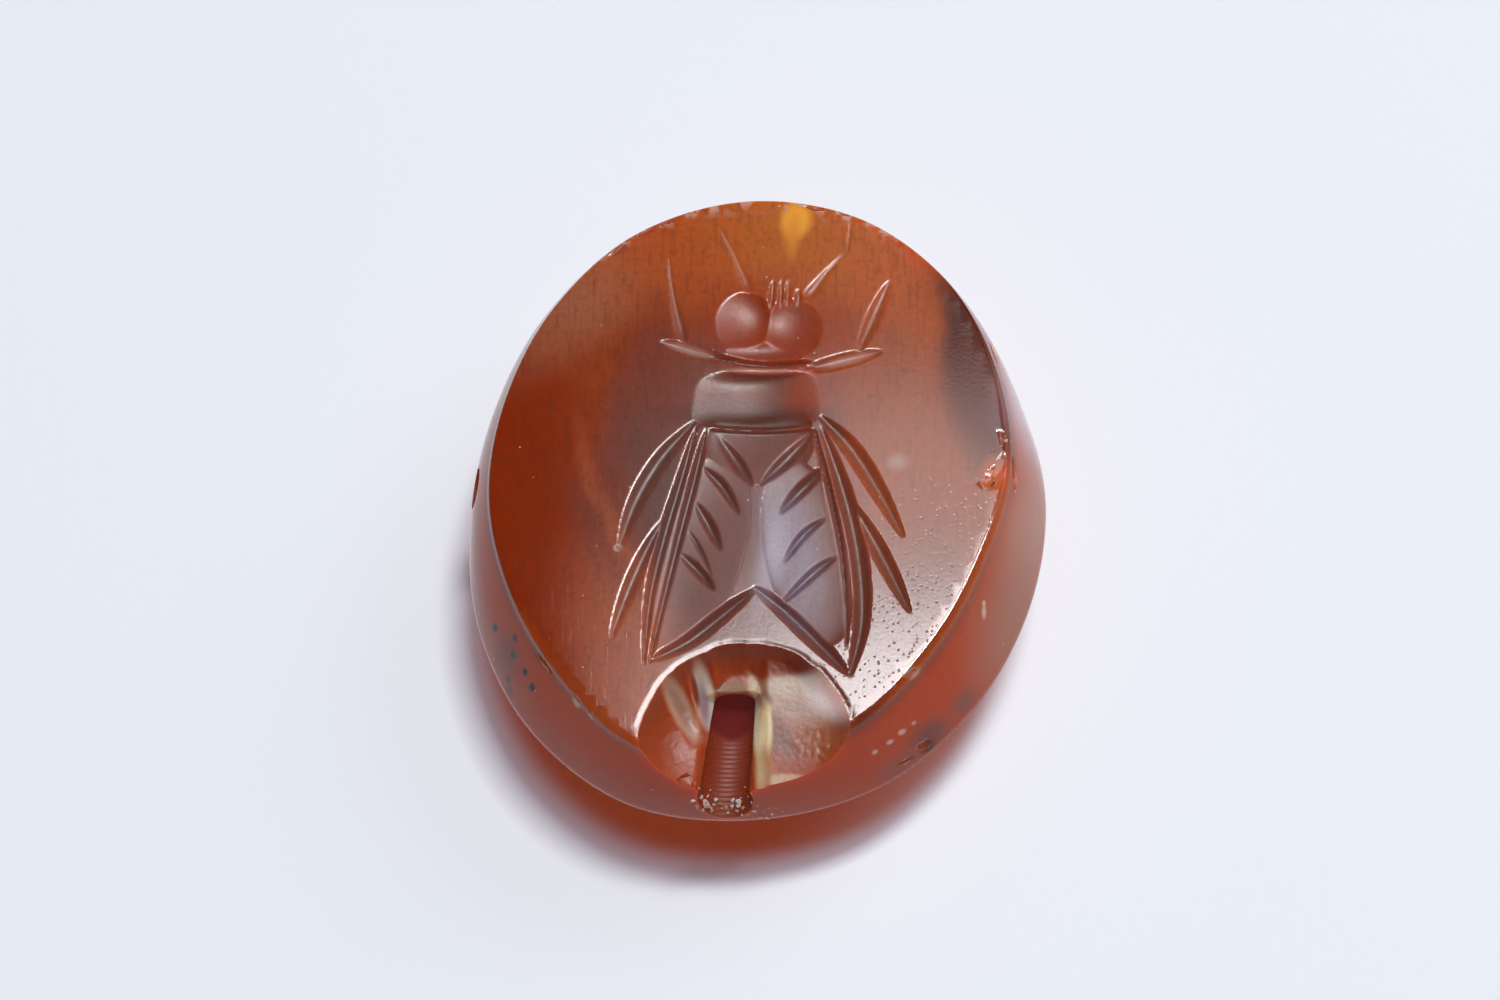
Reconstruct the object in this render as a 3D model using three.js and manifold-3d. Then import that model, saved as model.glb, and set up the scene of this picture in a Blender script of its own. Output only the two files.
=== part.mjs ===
import * as THREE from 'three';
import Module from 'manifold-3d';
import { mergeVertices } from 'three/addons/utils/BufferGeometryUtils.js';

// An ancient seal stone of banded carnelian, in millimetres.
// +Z comes out of the engraved face, +Y points the way the insect's head does,
// and the stone rests on the worn crown of its domed back.

// The stone
const stoneLength = 20.6;
const stoneWidth = 18.5;
const stoneHeight = 7.9;
const faceLength = 18.8;
const faceWidth = 16.8;
const girdleDrop = 2.9;
const faceEdgeRound = 0.25;
const wallBulge = 0.12;
const crownFlat = 5;
const crownFlatLength = 6;
const domeStartAngle = 16;

// The string hole, drilled lengthwise and worn wide at both mouths
const boreDiameter = 1.25;
const boreMouthDiameter = 1.76;
const boreDepth = 1.75;
const boreTurn = -6.1;
const boreOffset = 0.21;
const boreMouthLength = 4.2;
const mouthWearLength = 1.5;
const mouthWearDiameter = 2.1;

// The second hole in the left wall, which stops inside and holds burial soil
const sideBoreDiameter = 1.3;
const sideBoreReach = 3.4;
const sideBoreDepth = 1.95;
const sideBorePlace = 0.85;
const sideBoreTip = 0.45;
const soilGap = 0.05;
const soilRecess = 0.3;
const soilCrown = 0.12;

// The engraver's wheel: its widest and deepest groove, and its deepest scoop
const wheelWidth = 0.5;
const wheelDepth = 0.5;
const scoopDepth = 0.62;
const grooveTipShare = 0.08;
const bluntStartShare = 0.85;

// The shell of stone that broke away over the front mouth of the string hole
const spallWidth = 6.9;
const spallLength = 6.92;
const spallDepth = 1.4;
const spallLift = 0.3;
const spallPlace = -8.8;

// Chips along the edges
const chipSize = 1;

// How finely the forms are divided, and the one overrun for every cut
const outlineSteps = 88;
const domeSteps = 8;
const wallSteps = 3;
const edgeSteps = 2;
const grooveStep = 0.6;
const grooveStepsLeast = 5;
const grooveSides = 6;
const scoopSteps = 24;
const spallSteps = 32;
const chipSteps = 12;
const boreSides = 20;
const overrun = 0.4;

// Outlines, every 22.5 degrees from +X, as shares of an ellipse of the full size
const faceOutlineShares = [
  0.996, 1.014, 1.03, 1.02, 1.005, 1, 0.985, 0.978,
  0.982, 0.965, 0.966, 1.004, 0.99, 0.968, 0.938, 0.945,
];
const girdleOutlineShares = [
  1.002, 0.995, 1.025, 1.022, 1.004, 1.002, 0.99, 0.988,
  1.003, 1.03, 1.042, 1.035, 1, 1.004, 1.004, 1.006,
];

// The engraving. A path's points are shares of the face's half width and half
// length. Its width and depth are shares of the wheel's widest and deepest groove.
const headCutShares = [
  { path: [[0.105, 0.72], [0.1, 0.65], [0.085, 0.575]], width: 0.42, depth: 0.4 },
  { path: [[0.135, 0.72], [0.135, 0.645], [0.115, 0.575]], width: 0.36, depth: 0.4 },
  { path: [[0.165, 0.72], [0.16, 0.645], [0.15, 0.575]], width: 0.36, depth: 0.4 },
  { path: [[-0.095, 0.915], [-0.04, 0.81], [0.02, 0.68]], width: 0.8, depth: 0.36, blunt: true },
  { path: [[0.39, 0.825], [0.31, 0.74], [0.23, 0.65]], width: 0.76, depth: 0.36, blunt: true },
  { path: [[0.38, 0.81], [0.395, 0.86], [0.395, 0.93]], width: 0.2, depth: 0.14 },
  { path: [[-0.14, 0.445], [0.045, 0.405], [0.24, 0.405]], width: 0.8, depth: 1 },
];
const legCutShares = [
  { path: [[-0.3, 0.84], [-0.275, 0.685], [-0.235, 0.515]], width: 0.76, depth: 0.5, blunt: true },
  { path: [[-0.31, 0.515], [-0.205, 0.48], [-0.08, 0.445]], width: 0.7, depth: 0.64 },
  { path: [[0.55, 0.7], [0.49, 0.58], [0.425, 0.445]], width: 0.8, depth: 0.44 },
  { path: [[0.225, 0.39], [0.37, 0.42], [0.51, 0.445]], width: 0.72, depth: 0.64 },
];
const bodyCutShares = [
  { path: [[-0.17, 0.3], [0.05, 0.285], [0.255, 0.275]], width: 3.5, depth: 1.2, fullness: 0.3 },
  { path: [[-0.17, 0.2], [0.045, 0.19], [0.255, 0.185]], width: 0.3, depth: 1.05 },
  { path: [[-0.11, 0.185], [-0.045, 0.09], [0.02, -0.005]], width: 1.1, depth: 1.1 },
  { path: [[0.255, 0.17], [0.165, 0.09], [0.07, -0.005]], width: 1.15, depth: 1.1 },
];
const leftWingCutShares = [
  { path: [[-0.195, 0.225], [-0.315, 0.105], [-0.415, -0.05], [-0.48, -0.22]], width: 1, depth: 0.68 },
  { path: [[-0.315, -0.125], [-0.39, -0.26], [-0.455, -0.395], [-0.505, -0.53]], width: 0.84, depth: 0.6 },
  { path: [[-0.185, 0.215], [-0.245, 0.005], [-0.305, -0.18], [-0.36, -0.39], [-0.38, -0.625]],
    width: 0.74, depth: 0.84 },
  { path: [[-0.145, 0.2], [-0.195, 0.02], [-0.25, -0.165], [-0.305, -0.375], [-0.365, -0.625]],
    width: 0.74, depth: 0.96 },
  { path: [[-0.16, 0.05], [-0.09, -0.015], [-0.025, -0.11]], width: 0.7, depth: 0.9 },
  { path: [[-0.2, -0.055], [-0.14, -0.145], [-0.095, -0.24]], width: 1, depth: 1.1 },
  { path: [[-0.235, -0.145], [-0.18, -0.23], [-0.13, -0.34]], width: 0.4, depth: 0.86 },
  { path: [[-0.265, -0.23], [-0.185, -0.3], [-0.115, -0.38]], width: 0.9, depth: 1.05 },
  { path: [[0.035, -0.385], [-0.1, -0.475], [-0.22, -0.555], [-0.35, -0.615]], width: 1, depth: 0.9 },
];
const rightWingCutShares = [
  { path: [[0.285, 0.22], [0.395, 0.11], [0.49, -0.035], [0.595, -0.215]], width: 1.04, depth: 0.7 },
  { path: [[0.39, -0.08], [0.475, -0.22], [0.545, -0.345], [0.615, -0.48]], width: 0.9, depth: 0.64 },
  { path: [[0.26, 0.18], [0.315, -0.045], [0.36, -0.275], [0.38, -0.595]], width: 0.5, depth: 0.84 },
  { path: [[0.29, 0.18], [0.37, -0.045], [0.42, -0.27], [0.435, -0.5], [0.39, -0.69]],
    width: 1.1, depth: 1.05 },
  { path: [[0.295, 0.03], [0.21, -0.035], [0.125, -0.12]], width: 1.04, depth: 1.15 },
  { path: [[0.31, -0.13], [0.215, -0.195], [0.135, -0.3]], width: 0.76, depth: 1.05 },
  { path: [[0.355, -0.265], [0.26, -0.325], [0.135, -0.435]], width: 0.92, depth: 1.1 },
  { path: [[0.035, -0.375], [0.155, -0.465], [0.27, -0.575], [0.38, -0.685]], width: 1.04, depth: 0.9 },
];

// Round scoops of the engraving. Place and half sizes are shares of the face's
// half sizes, depth and lift are shares of the deepest scoop, turn is in degrees.
const scoopShares = [
  { name: 'left_eye', at: [-0.02, 0.575], half: [0.09, 0.1], depth: 0.95, lift: 0, turn: 0 },
  { name: 'right_eye', at: [0.19, 0.53], half: [0.1, 0.095], depth: 0.95, lift: 0, turn: 0 },
  { name: 'scutellum', at: [0.055, 0.13], half: [0.16, 0.14], depth: 0.72, lift: 0.6, turn: 0 },
  { name: 'left_wing', at: [-0.13, -0.24], half: [0.15, 0.3], depth: 0.5, lift: 0.5, turn: -15 },
  { name: 'right_wing', at: [0.205, -0.26], half: [0.15, 0.3], depth: 0.5, lift: 0.5, turn: 11 },
];

// Chips. Places are shares of the girdle's half width and half length and of the
// stone's height, half sizes are shares of the chip size.
const chipShares = [
  { at: [0.885, 0.0, 1], half: [0.55, 0.8, 0.42] },
  { at: [0.925, -0.06, 0.95], half: [0.3, 0.55, 0.3] },
  { at: [-0.255, -0.955, 0.82], half: [0.32, 0.3, 0.32] },
  { at: [-0.38, 0.835, 1], half: [0.5, 0.22, 0.12] },
  { at: [-0.62, 0.66, 1], half: [0.3, 0.3, 0.1] },
  { at: [0.3, 0.875, 1], half: [0.55, 0.2, 0.14] },
  { at: [0.645, -0.775, 0.68], half: [0.42, 0.26, 0.3] },
  { at: [0.51, -0.575, 1], half: [0.2, 0.16, 0.1] },
];

// Flake scars inside the broken shell, in the same shares as the chips
const scarShares = [
  { at: [-0.22, -0.8, 0.94], half: [0.7, 1.15, 1.15] },
  { at: [0.185, -0.79, 0.94], half: [1.35, 1.15, 0.98] },
  { at: [0.02, -0.6, 0.98], half: [1.2, 0.75, 0.5] },
];

const wasm = await Module();
wasm.setup();

// Turn a closed mesh into a solid that can be cut, and back again
function toSolid(geometry) {
  const bare = geometry.clone();
  bare.deleteAttribute('normal');
  bare.deleteAttribute('uv');
  const merged = mergeVertices(bare);
  return new wasm.Manifold(new wasm.Mesh({
    numProp: 3,
    vertProperties: new Float32Array(merged.attributes.position.array),
    triVerts: new Uint32Array(merged.index.array),
  }));
}

function toGeometry(solid) {
  const mesh = solid.getMesh();
  const geometry = new THREE.BufferGeometry();
  geometry.setAttribute('position', new THREE.BufferAttribute(mesh.vertProperties, 3));
  geometry.setIndex(new THREE.BufferAttribute(mesh.triVerts, 1));
  geometry.computeVertexNormals();
  return geometry;
}

// Skin a stack of rings, from the lowest to the highest, and close both ends.
// Each ring runs counterclockwise as seen from the end of the stack.
function skinRings(rings) {
  const count = rings[0].length;
  const points = rings.flat();
  const triangles = [];
  for (let level = 0; level < rings.length - 1; level += 1) {
    for (let i = 0; i < count; i += 1) {
      const a = level * count + i;
      const b = level * count + (i + 1) % count;
      triangles.push(a, b, b + count, a, b + count, a + count);
    }
  }
  const first = points.push(centreOf(rings[0])) - 1;
  const last = points.push(centreOf(rings[rings.length - 1])) - 1;
  const top = (rings.length - 1) * count;
  for (let i = 0; i < count; i += 1) {
    const next = (i + 1) % count;
    triangles.push(first, next, i, last, top + i, top + next);
  }
  const geometry = new THREE.BufferGeometry().setFromPoints(points);
  geometry.setIndex(triangles);
  return geometry;
}

function centreOf(ring) {
  const centre = new THREE.Vector3();
  for (const point of ring) {
    centre.add(point);
  }
  return centre.divideScalar(ring.length);
}

// A smooth closed outline through the shares, as a list of flat points
function outline(shares, width, length) {
  const corners = shares.map((share, i) => {
    const angle = 2 * Math.PI * i / shares.length;
    const across = Math.cos(angle) / (width / 2);
    const along = Math.sin(angle) / (length / 2);
    const radius = share / Math.hypot(across, along);
    return new THREE.Vector3(radius * Math.cos(angle), radius * Math.sin(angle), 0);
  });
  const curve = new THREE.CatmullRomCurve3(corners, true, 'centripetal');
  return Array.from({ length: outlineSteps }, (unused, i) => curve.getPoint(i / outlineSteps));
}

function ringBetween(inner, outer, share, height) {
  return inner.map((point, i) => point.clone().lerp(outer[i], share).setZ(height));
}

function ringInset(ring, inset, height) {
  return ring.map((point) => point.clone().setLength(point.length() - inset).setZ(height));
}

// The blank: a domed back, a ridge at the girdle, a wall that leans in to the
// flat face, and a softly worn edge round that face
function stoneBlank() {
  const face = outline(faceOutlineShares, faceWidth, faceLength);
  const girdle = outline(girdleOutlineShares, stoneWidth, stoneLength);
  const crown = outline(girdleOutlineShares, crownFlat, crownFlatLength);
  const girdleHeight = stoneHeight - girdleDrop;
  const rings = [];
  const start = THREE.MathUtils.degToRad(domeStartAngle);
  for (let i = 0; i < domeSteps; i += 1) {
    const angle = THREE.MathUtils.lerp(Math.PI / 2, start, i / domeSteps);
    const spread = Math.cos(angle) / Math.cos(start);
    const drop = (Math.sin(angle) - Math.sin(start)) / (1 - Math.sin(start));
    rings.push(ringBetween(crown, girdle, spread, girdleHeight * (1 - drop)));
  }
  const wallTop = stoneHeight - faceEdgeRound;
  for (let i = 0; i < wallSteps; i += 1) {
    const rise = i / wallSteps;
    const bulge = wallBulge * Math.sin(Math.PI * rise);
    const ring = ringBetween(girdle, face, rise, THREE.MathUtils.lerp(girdleHeight, wallTop, rise));
    rings.push(ringInset(ring, -bulge, ring[0].z));
  }
  for (let i = 0; i <= edgeSteps; i += 1) {
    const angle = Math.PI / 2 * i / edgeSteps;
    const inset = faceEdgeRound * (1 - Math.cos(angle));
    rings.push(ringInset(face, inset, wallTop + faceEdgeRound * Math.sin(angle)));
  }
  return toSolid(skinRings(rings));
}

// A place on the face, from shares of its half sizes
function onFace([acrossShare, alongShare]) {
  return new THREE.Vector3(acrossShare * faceWidth / 2, alongShare * faceLength / 2, stoneHeight);
}

// One pass of the wheel: a boat-shaped groove, deepest in the middle and pointed
// at both ends, or blunt at its far end where the wheel was lifted out. A fuller
// groove keeps its width and depth closer to its ends.
function wheelCut({ path, width, depth, fullness = 0.62, blunt = false }) {
  const curve = new THREE.CatmullRomCurve3(path.map(onFace));
  const up = new THREE.Vector3(0, 0, 1);
  const steps = Math.max(grooveStepsLeast, Math.round(curve.getLength() / grooveStep));
  const rings = [];
  for (let i = 0; i <= steps; i += 1) {
    const along = i / steps;
    const boat = Math.max(Math.sin(Math.PI * along), 0) ** fullness;
    const share = Math.max(blunt ? wedgeShare(along) : boat, grooveTipShare);
    const centre = curve.getPoint(along);
    const side = new THREE.Vector3().crossVectors(curve.getTangent(along), up).normalize();
    const halfWidth = wheelWidth * width * share / 2;
    const deep = wheelDepth * depth * share;
    const ring = [];
    for (let k = 0; k < grooveSides; k += 1) {
      const angle = Math.PI * k / (grooveSides - 1);
      const point = centre.clone().addScaledVector(side, halfWidth * Math.cos(angle));
      ring.push(point.addScaledVector(up, -deep * Math.sin(angle)));
    }
    ring.push(centre.clone().addScaledVector(side, -halfWidth).addScaledVector(up, overrun));
    ring.push(centre.clone().addScaledVector(side, halfWidth).addScaledVector(up, overrun));
    rings.push(ring);
  }
  return toSolid(skinRings(rings));
}

// A groove that widens steadily and then ends in a round
function wedgeShare(along) {
  if (along < bluntStartShare) {
    return along / bluntStartShare;
  }
  const rounding = (along - bluntStartShare) / (1 - bluntStartShare);
  return Math.sqrt(Math.max(0, 1 - rounding ** 2));
}

// A bowl whose rim at the height of its place has the given half sizes. Lifting
// the ball's centre above the rim makes a shallow bowl with a sloping edge.
function bowl(place, halfWidth, halfLength, depth, lift, turn, steps) {
  const radius = depth + lift;
  const spread = 1 / Math.sqrt(1 - (lift / radius) ** 2);
  const ball = new THREE.SphereGeometry(1, steps, steps / 2);
  ball.rotateX(Math.PI / 2);
  ball.scale(halfWidth * spread, halfLength * spread, radius);
  ball.rotateZ(THREE.MathUtils.degToRad(turn));
  ball.translate(place.x, place.y, place.z + lift);
  return toSolid(ball);
}

function scoopCut({ at, half, depth, lift, turn }) {
  const halfWidth = half[0] * faceWidth / 2;
  const halfLength = half[1] * faceLength / 2;
  return bowl(onFace(at), halfWidth, halfLength, scoopDepth * depth, scoopDepth * lift, turn, scoopSteps);
}

function chipCut({ at, half }) {
  const place = new THREE.Vector3(
    at[0] * stoneWidth / 2,
    at[1] * stoneLength / 2,
    at[2] * stoneHeight,
  );
  return bowl(place, half[0] * chipSize, half[1] * chipSize, half[2] * chipSize, 0, 0, chipSteps);
}

function spallCut() {
  const place = new THREE.Vector3(0, spallPlace, stoneHeight);
  return bowl(place, spallWidth / 2, spallLength / 2, spallDepth, spallLift, 0, spallSteps);
}

// A round bar along +Y whose diameter changes at the given places
function roundBar(places) {
  const rings = places.map(({ along, diameter }) => {
    const ring = [];
    for (let i = 0; i < boreSides; i += 1) {
      const angle = 2 * Math.PI * i / boreSides;
      const across = Math.cos(angle) * diameter / 2;
      ring.push(new THREE.Vector3(-across, along, Math.sin(angle) * diameter / 2));
    }
    return ring;
  });
  return skinRings(rings);
}

function stringHole() {
  const end = stoneLength / 2 + overrun;
  const wear = stoneLength / 2 - mouthWearLength;
  const mouth = stoneLength / 2 - boreMouthLength;
  const bar = roundBar([
    { along: -end, diameter: mouthWearDiameter },
    { along: -wear, diameter: boreMouthDiameter },
    { along: -mouth, diameter: boreDiameter },
    { along: mouth, diameter: boreDiameter },
    { along: end, diameter: mouthWearDiameter },
  ]);
  bar.rotateZ(THREE.MathUtils.degToRad(boreTurn));
  bar.translate(boreOffset, 0, stoneHeight - boreDepth);
  return toSolid(bar);
}

// The second hole runs in along +X from the left wall and ends in a blunt tip
function sideBarGeometry(diameter, from, to) {
  const bar = roundBar([
    { along: from, diameter },
    { along: to - sideBoreTip, diameter },
    { along: to, diameter: diameter / 2 },
  ]);
  bar.rotateZ(-Math.PI / 2);
  bar.translate(-stoneWidth / 2, sideBorePlace, stoneHeight - sideBoreDepth);
  return bar;
}

function sideHole() {
  return toSolid(sideBarGeometry(sideBoreDiameter, -overrun, sideBoreReach));
}

// Packed soil, a little below the mouth of the hole and clear of its wall
function soilGeometry() {
  const diameter = sideBoreDiameter - 2 * soilGap;
  const mouth = (stoneWidth - faceWidth) / 2 * sideBoreDepth / girdleDrop;
  const from = mouth + soilRecess;
  const bar = roundBar([
    { along: from - soilCrown, diameter: diameter / 2 },
    { along: from, diameter },
    { along: sideBoreReach - sideBoreTip - soilGap, diameter },
    { along: sideBoreReach - soilGap, diameter: diameter / 2 },
  ]);
  bar.rotateZ(-Math.PI / 2);
  bar.translate(-stoneWidth / 2, sideBorePlace, stoneHeight - sideBoreDepth);
  return bar;
}

function gemGeometry() {
  const engraving = [
    ...headCutShares,
    ...legCutShares,
    ...bodyCutShares,
    ...leftWingCutShares,
    ...rightWingCutShares,
  ].map(wheelCut);
  const breaks = [spallCut(), ...scarShares.map(chipCut), ...chipShares.map(chipCut)];
  const cuts = [...scoopShares.map(scoopCut), ...engraving, ...breaks, stringHole(), sideHole()];
  let gem = stoneBlank();
  for (const cut of cuts) {
    gem = gem.subtract(cut);
  }
  return toGeometry(gem);
}

function part(name, geometry, colour, roughness) {
  const material = new THREE.MeshStandardMaterial({ color: colour, roughness, metalness: 0 });
  const mesh = new THREE.Mesh(geometry, material);
  mesh.name = name;
  return mesh;
}

const gem = part('carnelian_gem', gemGeometry(), '#a33a12', 0.18);
const soil = part('side_bore_soil', soilGeometry(), '#6b452b', 0.95);

// The origin lies under the middle of the stone's outer box
const middle = new THREE.Box3().setFromObject(gem).getCenter(new THREE.Vector3());
const seal = new THREE.Group();
seal.add(gem, soil);
seal.position.set(-middle.x, -middle.y, 0);

export default seal;
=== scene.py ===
import math
import random

import bpy
import numpy as np
from mathutils import Matrix, Vector, noise
from mathutils.bvhtree import BVHTree


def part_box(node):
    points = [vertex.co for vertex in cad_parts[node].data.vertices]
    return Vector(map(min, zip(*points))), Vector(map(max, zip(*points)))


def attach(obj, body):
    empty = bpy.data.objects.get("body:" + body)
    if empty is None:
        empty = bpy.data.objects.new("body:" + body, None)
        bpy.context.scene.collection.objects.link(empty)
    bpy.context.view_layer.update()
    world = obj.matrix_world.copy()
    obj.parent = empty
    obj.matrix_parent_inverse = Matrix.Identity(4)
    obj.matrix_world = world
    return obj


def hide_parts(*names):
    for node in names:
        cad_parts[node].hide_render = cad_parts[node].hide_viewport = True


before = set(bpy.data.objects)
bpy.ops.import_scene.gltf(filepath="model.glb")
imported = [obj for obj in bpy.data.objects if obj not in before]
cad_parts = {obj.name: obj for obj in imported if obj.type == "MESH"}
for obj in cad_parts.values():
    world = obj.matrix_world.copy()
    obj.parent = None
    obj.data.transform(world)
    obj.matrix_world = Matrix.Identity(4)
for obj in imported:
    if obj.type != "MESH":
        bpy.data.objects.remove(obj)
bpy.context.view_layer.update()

# the stone is modelled in millimetres and brought to metres at the end
millimetre = 0.001
scene = bpy.context.scene
scene.view_settings.view_transform = "Standard"
low, high = [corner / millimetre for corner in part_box("carnelian_gem")]
soilLow, soilHigh = [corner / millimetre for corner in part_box("side_bore_soil")]
faceHeight = high.z
flatHeight = faceHeight - 0.001  # whatever lies above this belongs to the face


def setMode(mode):
    bpy.ops.object.mode_set(mode=mode)


def deselectAll():
    for each in list(bpy.context.selected_objects):
        each.select_set(False)


def activate(obj):
    deselectAll()
    obj.select_set(True)
    bpy.context.view_layer.objects.active = obj


def selectParts(obj, kind, test):
    # leaves the object in edit mode with only the faces or edges that pass the test selected
    activate(obj)
    setMode("EDIT")
    bpy.ops.mesh.select_mode(type=kind)
    bpy.ops.mesh.select_all(action="DESELECT")
    setMode("OBJECT")
    for part in obj.data.polygons if kind == "FACE" else obj.data.edges:
        part.select = bool(test(part))
    setMode("EDIT")


def getPoints(obj):
    points = np.empty(len(obj.data.vertices) * 3)
    obj.data.vertices.foreach_get("co", points)
    return points.reshape(-1, 3)


def setPoints(obj, points):
    obj.data.vertices.foreach_set("co", points.ravel())
    obj.data.update()


def recalculateNormals(obj):
    selectParts(obj, "FACE", lambda face: True)
    bpy.ops.mesh.normals_make_consistent(inside=False)
    setMode("OBJECT")


def applyModifier(obj, kind, **settings):
    activate(obj)
    modifier = obj.modifiers.new(kind.title(), kind)
    for key, value in settings.items():
        setattr(modifier, key, value)
    bpy.ops.object.modifier_apply(modifier=modifier.name)


def removeObject(obj):
    data = obj.data
    bpy.data.objects.remove(obj)
    bpy.data.meshes.remove(data)


def cutAway(obj, cutter):
    applyModifier(obj, "BOOLEAN", operation="DIFFERENCE", solver="MANIFOLD", object=cutter)
    removeObject(cutter)


def toMetres(obj):
    activate(obj)
    obj.scale = (millimetre,) * 3
    bpy.ops.object.transform_apply()


def smoothStep(share):
    share = np.clip(share, 0, 1)
    return share**2 * (3 - 2 * share)


def roughNoise(points, scale, octaves=3):
    # flat places count as lying at height 0
    return np.array([noise.fractal(Vector((*p, 0)[:3]) * scale, 1, 2, octaves) for p in points])


# the camera, and how a place on the photo lands on the stone
view = {
    "toCamera": Vector((0.12, -0.335, 0.9345)).normalized(),
    "target": Vector((0.167, -0.66, 7.9)),
    "distance": 196.9,
    "lens": 150,
    "sensor": 36,
    "clip": (0.01, 20),
    "frame": (1500, 1000),
}
focalLength = view["lens"] / view["sensor"] * view["frame"][0]  # in the photo's pixels
pixelSize = view["distance"] / focalLength
cameraPlace = view["target"] + view["toCamera"] * view["distance"]
cameraRight = Vector((0, 1, 0)).cross(view["toCamera"]).normalized()
cameraUp = view["toCamera"].cross(cameraRight)


def makeCamera():
    data = bpy.data.cameras.new("photoCamera")
    data.lens, data.sensor_width = view["lens"], view["sensor"]
    data.clip_start, data.clip_end = view["clip"]
    camera = bpy.data.objects.new("photoCamera", data)
    scene.collection.objects.link(camera)
    turn = Matrix((cameraRight, cameraUp, view["toCamera"])).transposed().to_4x4()
    camera.matrix_world = Matrix.Translation(cameraPlace * millimetre) @ turn
    scene.camera = camera
    print("camera placed")


def photoRay(across, down):
    width, height = view["frame"]
    ray = cameraRight * (across - width / 2) + cameraUp * (height / 2 - down)
    return cameraPlace, (ray - view["toCamera"] * focalLength).normalized()


def facePoint(across, down, depth=0):
    start, ray = photoRay(across, down)
    point = start + ray * ((faceHeight - depth - start.z) / ray.z)
    return np.array((point.x, point.y))


# the blank: the same outlines as the frame's stone, as shares of an ellipse at even angles
blank = {
    "length": 20.6,
    "width": 18.5,
    "faceLength": 18.8,
    "faceWidth": 16.8,
    "girdleDrop": 2.9,
    "wallBulge": 0.14,
    "crownWidth": 5,
    "crownLength": 6,
    "domeStart": math.radians(16),
    "faceSag": 0.16,
    "segments": 288,
    "edgeRings": 5,
    "wallRings": 16,
    "domeRings": 26,
    "smoothAngle": math.radians(50),
    "faceShares": (1, 1.02, 1.036, 1.034, 1.02, 1.012, 0.993, 0.982,
                   0.982, 0.965, 0.966, 1.004, 0.99, 0.968, 0.938, 0.948),
    "girdleShares": (1.002, 0.97, 0.958, 0.982, 0.995, 1.002, 0.99, 0.988,
                     1.003, 1.03, 1.042, 1.035, 1, 1.004, 1.004, 1.006),
    # the face's edge is crisp at the top and worn round at the bottom
    "edgeRounds": (0.28, 0.16, 0.07, 0.07, 0.08, 0.09, 0.1, 0.12,
                   0.15, 0.2, 0.3, 0.3, 0.3, 0.3, 0.3, 0.3),
}
girdleHeight = faceHeight - blank["girdleDrop"]


def blendRows(rows, t):
    # places on a smooth curve through four rows, at the share t between the middle two
    a, b, c, d = rows
    return 0.5 * (2 * b + (c - a) * t + (2 * a - 5 * b + 4 * c - d) * t**2
                  + (3 * b - a - 3 * c + d) * t**3)


def turnsOf(points):
    return np.arctan2(points[:, 1], points[:, 0]) / (2 * math.pi) % 1


def outline(shares, width, length, turns):
    corners = []
    for i, share in enumerate(shares):
        angle = 2 * math.pi * i / len(shares)
        radius = share / math.hypot(math.cos(angle) / (width / 2), math.sin(angle) / (length / 2))
        corners.append((radius * math.cos(angle), radius * math.sin(angle)))
    corners, spots = np.array(corners), turns * len(shares)
    first = np.floor(spots).astype(int)
    return blendRows([corners[(first + step) % len(shares)] for step in (-1, 0, 1, 2)],
                     (spots - first)[:, None])


def faceOutline(turns):
    return outline(blank["faceShares"], blank["faceWidth"], blank["faceLength"], turns)


def blankRings(turns):
    # every ring of the blank from the face's rim down to the crown, as x, y, z rows
    face = faceOutline(turns)
    girdle = outline(blank["girdleShares"], blank["width"], blank["length"], turns)
    crown = outline(blank["girdleShares"], blank["crownWidth"], blank["crownLength"], turns)
    rounds = blank["edgeRounds"]
    edge = np.interp(turns * len(rounds), range(len(rounds) + 1), (*rounds, rounds[0]))
    wallTop = faceHeight - edge
    rings = []

    def addRing(flat, inset, height):
        flat = flat * (1 - inset / np.linalg.norm(flat, axis=1))[:, None]
        rings.append(np.column_stack((flat, np.broadcast_to(height, len(flat)))))

    for i in range(blank["edgeRings"]):
        angle = math.pi / 2 * (1 - i / blank["edgeRings"])
        addRing(face, edge * (1 - math.cos(angle)), wallTop + edge * math.sin(angle))
    for i in range(blank["wallRings"]):
        drop = i / blank["wallRings"]
        bulge = blank["wallBulge"] * math.sin(math.pi * drop)
        addRing(face + (girdle - face) * drop, -bulge, wallTop + (girdleHeight - wallTop) * drop)
    start = blank["domeStart"]
    for i in range(blank["domeRings"]):
        angle = start + (math.pi / 2 - start) * i / (blank["domeRings"] - 1)
        spread = math.cos(angle) / math.cos(start)
        drop = (math.sin(angle) - math.sin(start)) / (1 - math.sin(start))
        addRing(crown + (girdle - crown) * spread, 0, girdleHeight * (1 - drop))
    return rings


def isFlat(face):
    return face.center.z > flatHeight


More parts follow.
